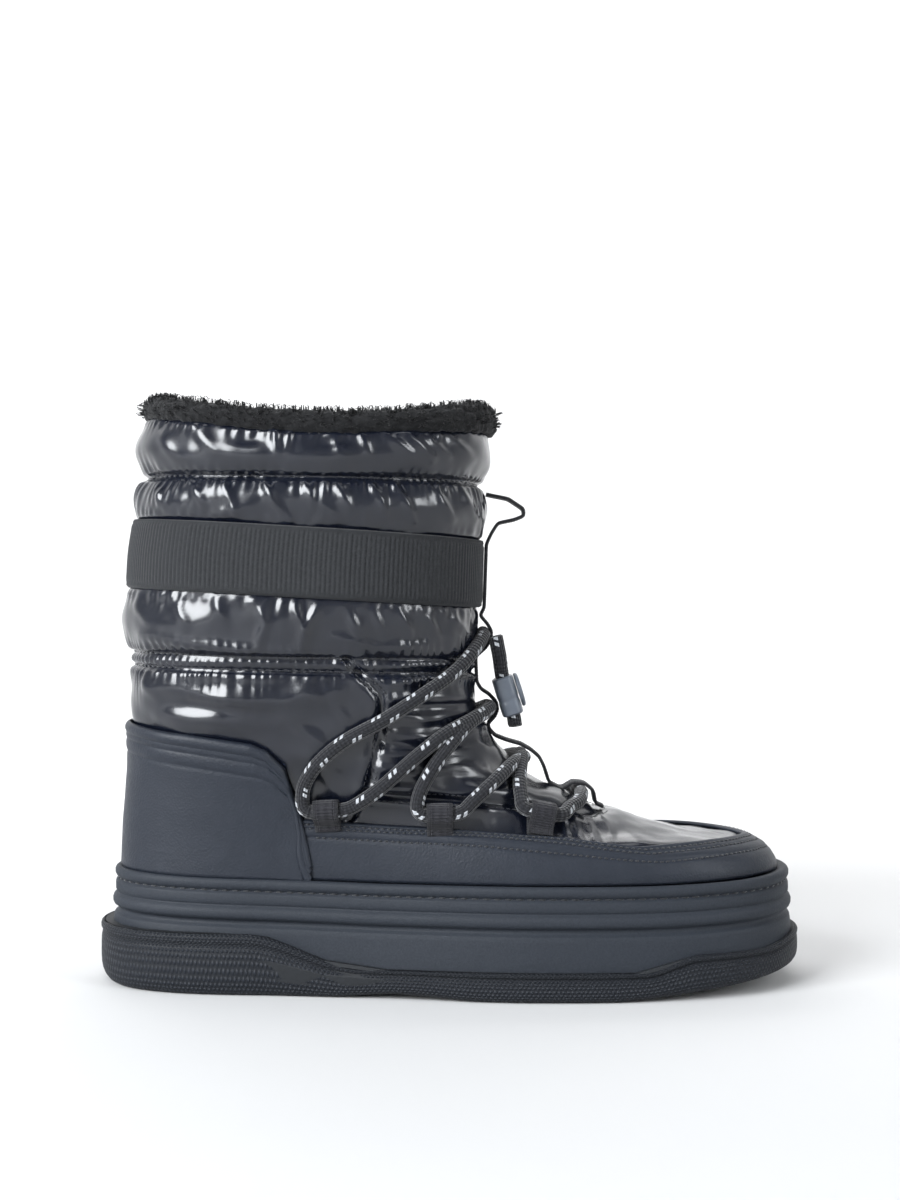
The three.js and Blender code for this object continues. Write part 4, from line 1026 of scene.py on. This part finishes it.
mesh_data = laid_grid(360, fur_levels, fur_place, (400, 40), (True, True))
curl_count = 2500
curl_rng = random.Random(23)
curl_corners = [Vector((math.cos(angle), math.sin(angle), 0)) for angle in (0, 2.094, 4.189)]
for number in range(curl_count):
    turn = np.array([curl_rng.uniform(0, 2 * math.pi)])
    top = curl_rng.random() < 0.7
    out = curl_rng.uniform(-1.3, 0.2) if top else curl_rng.uniform(-0.1, 0.2)
    up = 0.86 - 0.34 * (out + 0.7) ** 2 if top else curl_rng.uniform(0.05, 0.7)
    base = fur_point(turn, np.array([out]), np.array([up]))[0]
    spin = curl_rng.uniform(0, 2 * math.pi)
    lean = Vector((math.cos(spin), math.sin(spin), curl_rng.uniform(-0.2, 0.6))).normalized()
    curl_radius = curl_rng.uniform(0.7, 1.3)
    arc = curl_rng.uniform(2.2, 4.2)
    up_way = Vector((0, 0, 1)) if top else Vector(body_normal(turn, np.array([20.5]))[0])
    rings = []
    for step in range(5):
        angle = arc * step / 4
        spot = (Vector(base) + lean * (curl_radius * math.sin(angle))
                + up_way * (curl_radius * (1 - math.cos(angle)) + 0.9))
        thick = 0.42 * (1 - 0.16 * step)
        swing = Matrix.Rotation(angle, 3, lean.cross(up_way).normalized())
        rings.append([mesh_data.verts.new((swing @ corner * thick + spot) * MM) for corner in curl_corners])
    for lower, higher in zip(rings[:-1], rings[1:]):
        for corner in range(3):
            mesh_data.faces.new((lower[corner], lower[(corner + 1) % 3],
                                 higher[(corner + 1) % 3], higher[corner]))
    mesh_data.faces.new(rings[-1])
    mesh_data.faces.new(rings[0][::-1])
bmesh.ops.recalc_face_normals(mesh_data, faces=mesh_data.faces)
fur_piece = finish_mesh("sherpa_collar", mesh_data, ["fur_collar"])
coat(fur_piece, fur)

# %% [markdown]
# ## Front webbing
# A narrow webbing runs up the front. It is sewn down between the cord passages and bulges over each
# of them, and its top end is folded into a pull loop.

# %% Webbing strip
webbing_route = [
    (8.02, 0), (8.2, 0.04), (8.34, 0.86), (8.58, 1.12), (8.82, 0.86), (8.97, 0.04), (9.25, 0.04),
    (9.5, 0.9), (9.72, 1.34), (10.0, 1.4), (10.28, 1.2), (10.56, 0.6), (10.8, 0.12), (11, 0.03),
    (11.15, 0.12), (11.28, 0.85), (11.5, 1.22), (11.8, 1.24), (12.1, 0.85), (12.3, 0.3), (12.5, 0.04),
    (13.25, 0), (13.55, 0.72), (13.85, 1.06), (14.15, 1.06), (14.42, 0.72), (14.72, 0.1), (15.0, 0.34),
    (16.9, 0.34), (17.3, 0.62), (17.66, 0.95), (17.82, 2.1), (17.93, 2.8), (18.06, 2.75), (18.33, 1.7),
    (18.56, 0.55), (18.66, 0.12),
]
webbing_thickness = 1.3
webbing_flat = clearance + webbing_thickness / 2


def close_ends(mesh_data):
    """Fills the open ends of a tube or strip and turns its faces outwards."""
    open_edges = [edge for edge in mesh_data.edges if edge.is_boundary]
    bmesh.ops.holes_fill(mesh_data, edges=open_edges, sides=0)
    bmesh.ops.recalc_face_normals(mesh_data, faces=mesh_data.faces)


def eased(points, spread):
    """The same route with its corners eased, over a spread of points."""
    reach = 3 * spread
    weights = np.exp(-(np.arange(-reach, reach + 1) / spread) ** 2)
    weights /= weights.sum()
    padded_points = np.vstack([points[:1]] * reach + [points] + [points[-1:]] * reach)
    return np.stack([np.convolve(padded_points[:, axis], weights, "valid") for axis in range(3)], -1)


def straight_steps(stops, spacing):
    """Points an even spacing apart along the straight lines between stops."""
    stops = np.array(stops, float)
    length = walked(stops)
    at = np.linspace(0, length[-1], max(2, round(length[-1] / spacing)) + 1)
    return np.stack([np.interp(at, length, stops[:, axis]) for axis in range(3)], -1)


strip_stops = [body_offset(0.0, row, webbing_flat + lift * 2 * cord_radius) for row, lift in webbing_route]
strip_route = eased(straight_steps(strip_stops, 0.5), 2)
strip_steps = len(strip_route) - 1
strip_ahead = np.gradient(strip_route, axis=0)
strip_ahead /= np.linalg.norm(strip_ahead, axis=1, keepdims=True)
strip_out = np.cross((0, 1.0, 0), strip_ahead)
strip_out *= np.sign(strip_out[strip_steps // 4, 0])


def strip_place(u, v):
    """Round the strip's section with u, along it with v."""
    index = np.rint(v * strip_steps).astype(int)
    turn = 2 * math.pi * u
    half_width, half_depth = webbing_width / 2, webbing_thickness / 2
    across = half_width * bent(np.cos(turn), 0.35)
    depth = half_depth * bent(np.sin(turn), 0.5)
    ribs = 0.07 * np.cos(2 * math.pi * v * strip_steps * 0.5 / 1.1)
    edge = 0.18 * np.exp(-((np.abs(across) - 4.5) / 0.3) ** 2)
    out = depth + np.where(depth > 0, ribs + edge, 0) - 0.25 * (across / half_width) ** 2
    return strip_route[index] + strip_out[index] * out[:, None] + across[:, None] * np.array((0, 1.0, 0))


mesh_data = laid_grid(40, strip_steps, strip_place, (webbing_width * 2, strip_steps * 0.5), (True, False))
close_ends(mesh_data)
strip = finish_mesh("webbing_strip", mesh_data, ["front_webbing"])
coat(strip, webbing)

# %% [markdown]
# ## Webbing loops for the cord
# Each loop is one piece of webbing folded round the cord, with both legs sewn under the mudguard's
# edge. The fold is drawn once in its own plane, out of the boot and up, and stood at six places.

# %% Webbing loops
loop_thickness = 1.2
lace_loops = [("rear", -47, 71.6, 0.06), ("middle", -4, 70, 0.02), ("front", 34, 66.4, -0.04)]
loop_lift = 4.2 * clearance + loop_thickness + cord_radius


def loop_frame(number, side):
    _name, x, z, lean = lace_loops[number]
    centre = body_at(x, z, side, loop_lift)
    out = centre - body_at(x, z, side, 0.0)
    out /= np.linalg.norm(out)
    along_way = np.array((1, 0, lean))
    along_way = along_way - out * np.dot(out, along_way)
    along_way /= np.linalg.norm(along_way)
    up = -side * np.cross(out, along_way)
    return centre, out, along_way, up / np.linalg.norm(up)


loop_eye = cord_radius + clearance + 0.5 * loop_thickness
loop_fold = [(-loop_eye - 0.1, -9, 0), (-loop_eye - 0.1, -5, 0), (-loop_eye, -1.5, 0)]
for angle in np.linspace(180, -48, 14):
    loop_fold.append((loop_eye * math.cos(math.radians(angle)), loop_eye * math.sin(math.radians(angle)), 0))
loop_fold += [(-0.4, -4.6, 0), (-1.9, -6, 0), (-2.3, -9, 0)]
fold_route = eased(straight_steps(loop_fold, 0.5), 2)
fold_steps = len(fold_route) - 1
fold_ahead = np.gradient(fold_route, axis=0)
fold_ahead /= np.linalg.norm(fold_ahead, axis=1, keepdims=True)
fold_out = np.cross((0, 0, 1.0), fold_ahead)


def loop_place(number, side):
    centre, out, along_way, up = loop_frame(number, side)

    def place(u, v):
        index = np.rint(v * fold_steps).astype(int)
        turn = 2 * math.pi * u
        across = webbing_width / 2 * bent(np.cos(turn), 0.35)
        depth = loop_thickness / 2 * bent(np.sin(turn), 0.5)
        ribs = 0.06 * np.cos(2 * math.pi * v * fold_steps * 0.5 / 1.1)
        spot = fold_route[index] + fold_out[index] * (depth + ribs)[:, None]
        return centre + spot[:, :1] * out + spot[:, 1:2] * up + across[:, None] * along_way
    return place


for side, side_name in ((-1, "outer"), (1, "inner")):
    for number, (name, *_place) in enumerate(lace_loops):
        mesh_data = laid_grid(32, fold_steps, loop_place(number, side), (webbing_width * 2, fold_steps * 0.5),
                              (True, False))
        close_ends(mesh_data)
        loop_piece = finish_mesh(f"webbing_loop_{side_name}_{name}", mesh_data,
                                 [f"lace_loop_{side_name}_{name}"])
        coat(loop_piece, webbing)

# %% [markdown]
# ## The laced cord
# The cord makes one closed path: from the top passage down to each rear loop, across to the far
# middle loop, back to the near front loop and over the vamp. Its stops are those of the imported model.

# %% Lace
lace_stops = [
    # length, height, side, lift; or the crest's row; or a loop's number and its end
    ("crest", 14.05, 0), ("wall", 9.3, 136.8, 1, 0.3), ("wall", 5.5, 131, 1, 0.3), ("wall", -1, 123, 1, 0),
    ("wall", -12.5, 114.5, 1, 0), ("wall", -26, 106, 1, 0), ("wall", -40, 98, 1, 0),
    ("wall", -49.8, 90, 1, 0), ("wall", -55, 82, 1, 0), ("wall", -56, 76.5, 1, 0.8), ("loop", 0, -1, 1),
    ("loop", 0, 1, 1), ("wall", -36, 73.6, 1, 0.8), ("wall", -27, 80, 1, 0.7), ("wall", -15, 90, 1, 0.3),
    ("wall", -4, 98.5, 1, 0), ("wall", 5.5, 103.5, 1, 0.3), ("over", 10.2, 106.5, 1, 1),
    ("crest", 11.7, 1), ("over", 10, 105.4, -1, 1), ("wall", 4, 101.5, -1, 0.4),
    ("wall", -4.5, 91, -1, 0.3), ("wall", -10.5, 81, -1, 0), ("wall", -12.4, 75, -1, 0.8),
    ("loop", 1, -1, -1), ("loop", 1, 1, -1), ("wall", 7.5, 73, -1, 0.8), ("wall", 15.5, 79, -1, 0.4),
    ("wall", 22.5, 84, -1, 0.8), ("crest", 10, 1), ("wall", 25.2, 84.4, 1, 1.5), ("wall", 25.4, 77.5, 1, 0),
    ("wall", 26.2, 71.5, 1, 0.8), ("loop", 2, -1, 1), ("loop", 2, 1, 1), ("wall", 44.8, 67, 1, 0.8),
    ("wall", 48.4, 68, 1, 0.7), ("wall", 50.4, 69.8, 1, 0.9), ("crest", 8.58, 0),
]
cord_lift = clearance + cord_radius + 0.6


def lace_point(stop, half):
    kind = stop[0]
    if kind == "crest":
        over = 0.35 * cord_radius if stop[2] and half < 0 else 0
        return body_offset(0.0, stop[1], clearance + cord_radius + over + 0.2)
    if kind == "loop":
        centre, _out, along_way, _up = loop_frame(stop[1], half * stop[3])
        return centre + along_way * stop[2] * (0.5 * webbing_width + 0.8 * cord_radius)
    over = 0.35 * cord_radius if kind == "over" and half < 0 else 0
    return body_at(stop[1], stop[2], half * stop[3], cord_lift + stop[4] + over)


lace_halves = [[lace_point(stop, half) for stop in lace_stops] for half in (1, -1)]
whole_lace = lace_halves[0] + lace_halves[1][::-1][1:]
lace_route = eased(straight_steps(smooth_route(whole_lace, 2.0)[0], 1.0), 2)
mesh_data = tube(lace_route, cord_radius, 16)
bmesh.ops.recalc_face_normals(mesh_data, faces=mesh_data.faces)
lace = finish_mesh("laced_cord", mesh_data, ["lace"])
coat(lace, braid)

# %% [markdown]
# ## Cup sole
# The sole is one thick moulded cup. Down its side it has a bead, a groove with the lockstitch, a
# textured band, a rounded ridge, a dark groove and a smooth panel. The side is drawn as one profile
# and carried round the sole's outline.

# %% Outline of the sole
ball_width_half, heel_width_half = 51, 40
cup_heel_inset, cup_toe_inset = 6.2, 4.2
outsole_floor, toe_spring, arch_lift = 8, 8.2, 1.8
foxing_heel, foxing_waist, foxing_toe, foxing_tip = 23.6, 11.3, 17.2, 3.3


def sole_point(turn, inset, z):
    outline = (-sole_half, sole_half, heel_width_half, ball_width_half, 5.2, 5.6, 1)
    step = 0.01
    x, y, _along = outline_point(turn, *outline)
    x0, y0, _along = outline_point(turn - step, *outline)
    x1, y1, _along = outline_point(turn + step, *outline)
    length = np.hypot(x1 - x0, y1 - y0)
    x = x - inset * (y1 - y0) / length
    y = y + inset * (x1 - x0) / length
    return np.stack([x, y, z(x) if callable(z) else np.broadcast_to(z, x.shape)], -1)


def even_turns(count):
    """Turns at even real steps round the sole."""
    fine = np.linspace(0, 2 * math.pi, 4001)
    ring = sole_point(fine, 0, 0.0)
    length = walked(ring)
    return np.interp(np.linspace(0, length[-1], count + 1), length, fine), length[-1]


def ground_lift(x):
    share = x / sole_half
    arch = arch_lift * np.sin(math.pi * np.clip((share + 0.36) / 0.46, 0, 1)) ** 2
    return arch + toe_spring * np.clip((share - 0.44) / 0.56, 0, 1) ** 1.25


def foxing_line(x):
    share = x / sole_half
    return (foxing_waist + (foxing_heel - foxing_waist) * (1 - smooth(share, -0.56, -0.24))
            + (foxing_toe - foxing_waist) * smooth(share, 0.52, 0.68) + foxing_tip * smooth(share, 0.86, 1))


def cup_inset(turn):
    return lerp(cup_toe_inset, cup_heel_inset, (1 - np.cos(turn)) / 2)


# %% Cup
# Down from the rim in millimetres, and out from the inset
cup_profile = [
    (0.0, -0.9), (0.25, -0.2), (0.7, 0.35), (1.6, 0.75), (2.9, 0.75), (3.9, 0.3), (4.4, -0.35),
    (4.8, -0.75), (5.3, -0.4), (5.7, 0.3), (6.3, 0.5), (8.0, 0.55), (9.4, 0.5), (9.9, 0.2), (10.3, -0.15),
    (10.8, 0.4), (11.6, 1.2), (12.8, 1.65), (14.2, 1.6), (15.2, 1.15), (15.8, 0.2), (16.2, -0.55),
    (17.2, -0.6), (17.9, -0.3), (18.5, 0.7), (19.2, 1.1),
]
cup_turns, cup_girth = even_turns(620)
panel_levels = 9
cup_count = len(cup_profile)


def cup_place(u, v):
    last = cup_count + panel_levels + 3
    turn = np.interp(u, np.linspace(0, 1, len(cup_turns)), cup_turns)
    index = np.rint(v * last).astype(int)
    point = np.zeros((len(u), 3))
    way = u * cup_girth
    for level in range(last + 1):
        here = index == level
        at = turn[here]
        if level < cup_count:
            down, out = cup_profile[level]
            relief = np.zeros(at.shape)
            if 5.9 < down < 9.6:
                relief = 0.16 * np.cos(2 * math.pi * way[here] / 2.2) * np.cos(2 * math.pi * (down - 6) / 1.8)
            inset = cup_inset(at) - out - relief
            point[here] = sole_point(at, inset, lambda x, down=down: rim_line(x) - down)
        elif level < cup_count + panel_levels:
            share = (level - cup_count + 1) / panel_levels
            inset = cup_inset(at) - lerp(1.15, 2.1, share)

            def panel_z(x, share=share):
                return lerp(rim_line(x) - 19.2, ground_lift(x) + outsole_floor, share)
            point[here] = sole_point(at, inset, panel_z)
        elif level == cup_count + panel_levels:
            point[here] = sole_point(at, 26, lambda x: ground_lift(x) + outsole_floor + 0.3)
        elif level == cup_count + panel_levels + 1:
            point[here] = sole_point(at, 26, lambda x: rim_line(x) - 15.5)
        elif level == cup_count + panel_levels + 2:
            inner = body_offset(at, np.full(at.shape, 1.0), np.full(at.shape, 0.1))
            inner[:, 2] = rim_line(inner[:, 0]) - 1.2
            point[here] = inner
        else:
            point[here] = sole_point(at, cup_inset(at) + 0.9, rim_line)
    return point


cup = sheet("cup_sole", 620, cup_count + panel_levels + 3, cup_place, (cup_girth, 60), (True, True),
            ["midsole"])
coat(cup, foam)

# %% Foxing
# Up in shares of the wall's height, and in from the outline in millimetres
foxing_profile = [
    (0.0, 5.2), (0.004, 3.6), (0.03, 2.2), (0.08, 1.2), (0.15, 0.55), (0.24, 0.18), (0.36, 0.03), (0.5, 0.0),
    (0.62, 0.02), (0.72, 0.12), (0.79, 0.4), (0.82, 0.75), (0.85, 0.5), (0.88, -0.05), (0.93, -0.12),
    (0.975, 0.1), (1.0, 0.7), (1.0, 1.6), (0.99, 3.4), (0.6, 4.4), (0.2, 5.4),
]
foxing_levels = len(foxing_profile)


def heel_bevel(x):
    return np.interp(-x / sole_half, [0.915, 0.955, 0.985, 1.05], [0, 1.6, 4.6, 9])


def foxing_place(u, v):
    turn = np.interp(u, np.linspace(0, 1, len(cup_turns)), cup_turns)
    index = np.rint(v * foxing_levels).astype(int) % foxing_levels
    up = np.array(foxing_profile)[index, 0]
    inset = np.array(foxing_profile)[index, 1]
    flat = sole_point(turn, inset, 0.0)
    foot = np.maximum(ground_lift(flat[:, 0]), heel_bevel(flat[:, 0]) * 0.35)
    flat[:, 2] = lerp(foot + 0.02, foxing_line(flat[:, 0]), up)
    flat[:, 2] += 0.35 * (up < 0.01) * (inset > 5)
    return flat


foxing = sheet("foxing_wall", 620, foxing_levels, foxing_place, (cup_girth, 32), (True, True))
coat(foxing, rubber)
coat(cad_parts["outsole"], tread_rubber)

# %% [markdown]
# ## Footbed
# The insole is a flat pile-covered board that shows only from above, through the mouth of the boot.

# %% Insole
footbed_edge = wall + clearance


def footbed_place(u, v):
    turn = 2 * math.pi * u
    reach = np.where(v < 0.5, np.minimum(v / 0.4, 1), np.minimum((1 - v) / 0.4, 1))
    row = np.where(v < 0.45, 0.0, np.where(v > 0.55, 0.32, (v - 0.45) * 3.2))
    rim = body_offset(turn, row, np.full(turn.shape, -footbed_edge))
    middle = np.stack([rim[:, 0] * 0.9, np.zeros(len(u)), rim[:, 2]], -1)
    point = lerp(middle, rim, reach[:, None])
    point[:, 2] += np.where(v > 0.55, -0.8 * (1 - reach ** 4), 0)
    return point


footbed_piece = sheet("footbed", 160, 40, footbed_place, (620, 90), (True, False), ["insole"])
mesh_data = bmesh.new()
mesh_data.from_mesh(footbed_piece.data)
bmesh.ops.remove_doubles(mesh_data, verts=mesh_data.verts, dist=1e-5)
close_ends(mesh_data)
mesh_data.to_mesh(footbed_piece.data)
mesh_data.free()
coat(footbed_piece, footbed)

# %% [markdown]
# ## Stitching
# Each stitch is a short thread capsule, half sunk in the cloth. One capsule is shaped once and laid
# again and again along every sewn line.

# %% Stitches
pattern = bmesh.new()
bmesh.ops.create_icosphere(pattern, subdivisions=1, radius=1)
stitch_corners = np.array([vertex.co[:] for vertex in pattern.verts])
stitch_faces = [[vertex.index for vertex in face.verts] for face in pattern.faces]
pattern.free()


def sew(mesh_data, points, normals, pitch, length, thickness):
    """Lays stitches along a line of points that lie on cloth with these normals, in millimetres."""
    way = walked(points)
    count = int(way[-1] / pitch)
    for number in range(count):
        at = (number + 0.5) * pitch
        here = np.array([np.interp(at, way, points[:, axis]) for axis in range(3)])
        ahead = np.array([np.interp(min(at + 0.5, way[-1]), way, points[:, axis]) for axis in range(3)])
        behind = np.array([np.interp(max(at - 0.5, 0), way, points[:, axis]) for axis in range(3)])
        normal = np.array([np.interp(at, way, normals[:, axis]) for axis in range(3)])
        forward = (ahead - behind) / (np.linalg.norm(ahead - behind) + 1e-9)
        side = np.cross(normal, forward)
        side /= np.linalg.norm(side) + 1e-9
        turned = (stitch_corners[:, :1] * forward * length / 2 + stitch_corners[:, 1:2] * side * thickness / 2
                  + stitch_corners[:, 2:] * normal * thickness * 0.4)
        made = [mesh_data.verts.new(corner) for corner in ((here + turned) * MM).tolist()]
        for face in stitch_faces:
            mesh_data.faces.new([made[index] for index in face])


mesh_data = bmesh.new()
for top_line, foot_line, thickness in ((counter_top_line, counter_foot_line, counter_thickness),
                                       (guard_top_line, guard_foot_line, guard_thickness)):
    shares = np.linspace(0.0, 0.985, 400)
    top_turn, top_row = at_share(top_line, shares)
    foot_turn, foot_row = at_share(foot_line, shares)
    drop = np.linalg.norm(body_point(top_turn, top_row) - body_point(foot_turn, foot_row), axis=1)
    for stitch_row in stitch_rows:
        down = np.clip(stitch_row / drop, 0, 1)
        keep = stitch_row < 0.9 * drop
        turn = lerp(top_turn, foot_turn, down)[keep]
        row = lerp(top_row, foot_row, down)[keep]
        for side in (-1, 1):
            normals = body_normal(turn * side, row)
            line = body_point(turn * side, row) + normals * (clearance + thickness - 0.12)
            sew(mesh_data, line, normals, 2.4, 1.7, 0.8)
for line_row in (channel_row - channel_half, channel_row + channel_half, seam_row, 20.86):
    turn = np.linspace(-math.pi, math.pi, 500)
    row = np.full(turn.shape, line_row)
    normals = body_normal(turn, row)
    depth = -1.55 if line_row < 20 else -0.3
    sew(mesh_data, body_point(turn, row) + normals * depth, normals, 3.2, 2.3, 0.5)
for points in (toe_seam, quarter_seam):
    fine = straight_steps([(x, 0, z) for x, z in points], 1.0)
    for side in (-1, 1):
        for shift in (1.9, -1.9):
            across = (0, shift) if points is toe_seam else (shift, 0)
            turn, row = body_place(fine[:, 0] + across[0], fine[:, 2] + across[1], side)
            normals = body_normal(turn, row)
            sew(mesh_data, body_point(turn, row) + normals * 0.35, normals, 2.4, 1.8, 0.45)
cup_stitch_turns = np.interp(np.linspace(0, 1, 600), np.linspace(0, 1, len(cup_turns)), cup_turns)
groove = sole_point(cup_stitch_turns, cup_inset(cup_stitch_turns) + 0.55, lambda x: rim_line(x) - 4.8)
groove_in = sole_point(cup_stitch_turns, cup_inset(cup_stitch_turns) + 1.55, lambda x: rim_line(x) - 4.8)
sew(mesh_data, groove, groove - groove_in, 4.2, 3.3, 0.8)
stitching = finish_mesh("stitching", mesh_data)
coat(stitching, thread_finish)

# %% [markdown]
# ## Studio
# The boot stands in the middle of a round paper dish, whose floor curves up into a wall on all sides.
# The paper is only light grey, so that little light returns from the wall behind the camera. A large
# soft box from the left gives the wide cool highlights of the coated nylon, and a narrow one from
# the right the thin ones. Two weaker boxes stand above and behind. The last one lights the paper.

# %% Floor and lights
# Reach from the middle and height of the dish, in metres
mesh_data = bmesh.new()
sweep = [(0, 0), (1.5, 0), (1.9, 0.06), (2.2, 0.3), (2.3, 0.8), (2.3, 4)]
line = [mesh_data.verts.new((0, reach, height)) for reach, height in sweep]
edges = [mesh_data.edges.new(pair) for pair in zip(line[:-1], line[1:])]
bmesh.ops.spin(mesh_data, geom=line + edges, cent=(0, 0, 0), axis=(0, 0, 1), angle=2 * math.pi, steps=72)
bmesh.ops.remove_doubles(mesh_data, verts=mesh_data.verts, dist=0.0005)
bmesh.ops.recalc_face_normals(mesh_data, faces=mesh_data.faces)
floor_mesh = bpy.data.meshes.new("studio_sweep")
mesh_data.to_mesh(floor_mesh)
mesh_data.free()
floor_mesh.polygons.foreach_set("use_smooth", [True] * len(floor_mesh.polygons))
studio_floor = bpy.data.objects.new("studio_sweep", floor_mesh)
bpy.context.collection.objects.link(studio_floor)
paper = Finish("studio_paper", Roughness=0.9)
paper.shader.inputs["Base Color"].default_value = shade(0.59, 0.59, 0.59)
coat(studio_floor, paper)


def soft_box(name, place, target, width, height, power, tint=(1, 1, 1)):
    data = bpy.data.lights.new(name, "AREA")
    data.shape = "RECTANGLE"
    data.size = width
    data.size_y = height
    data.energy = power
    data.color = tint
    light = bpy.data.objects.new(name, data)
    light.location = place
    aim = Vector(target) - Vector(place)
    light.rotation_euler = aim.to_track_quat("-Z", "Y").to_euler()
    bpy.context.collection.objects.link(light)


soft_box("box_left", (-1.1, -1.05, 0.8), (-0.04, 0, 0.13), 1.0, 1.0, 54, (0.94, 0.97, 1))
soft_box("box_right", (1.25, -0.85, 0.7), (0, 0, 0.12), 0.35, 0.9, 10, (0.94, 0.97, 1))
soft_box("box_top", (0, -0.1, 1.5), (0, 0, 0), 1.2, 0.5, 5, (0.95, 0.97, 1))
soft_box("box_rear", (-0.2, 1.1, 1.1), (0, 0, 0.1), 1.2, 0.7, 6, (1, 1, 1))
soft_box("box_paper", (0, 0.8, 1.3), (0, 2.2, 0.05), 3.4, 1.0, 48, (1, 1, 1))
world = bpy.data.worlds.new("studio_air")
bpy.context.scene.world = world
world.use_nodes = True
world.node_tree.nodes["Background"].inputs["Color"].default_value = (0.93, 0.95, 1, 1)
world.node_tree.nodes["Background"].inputs["Strength"].default_value = 0.06
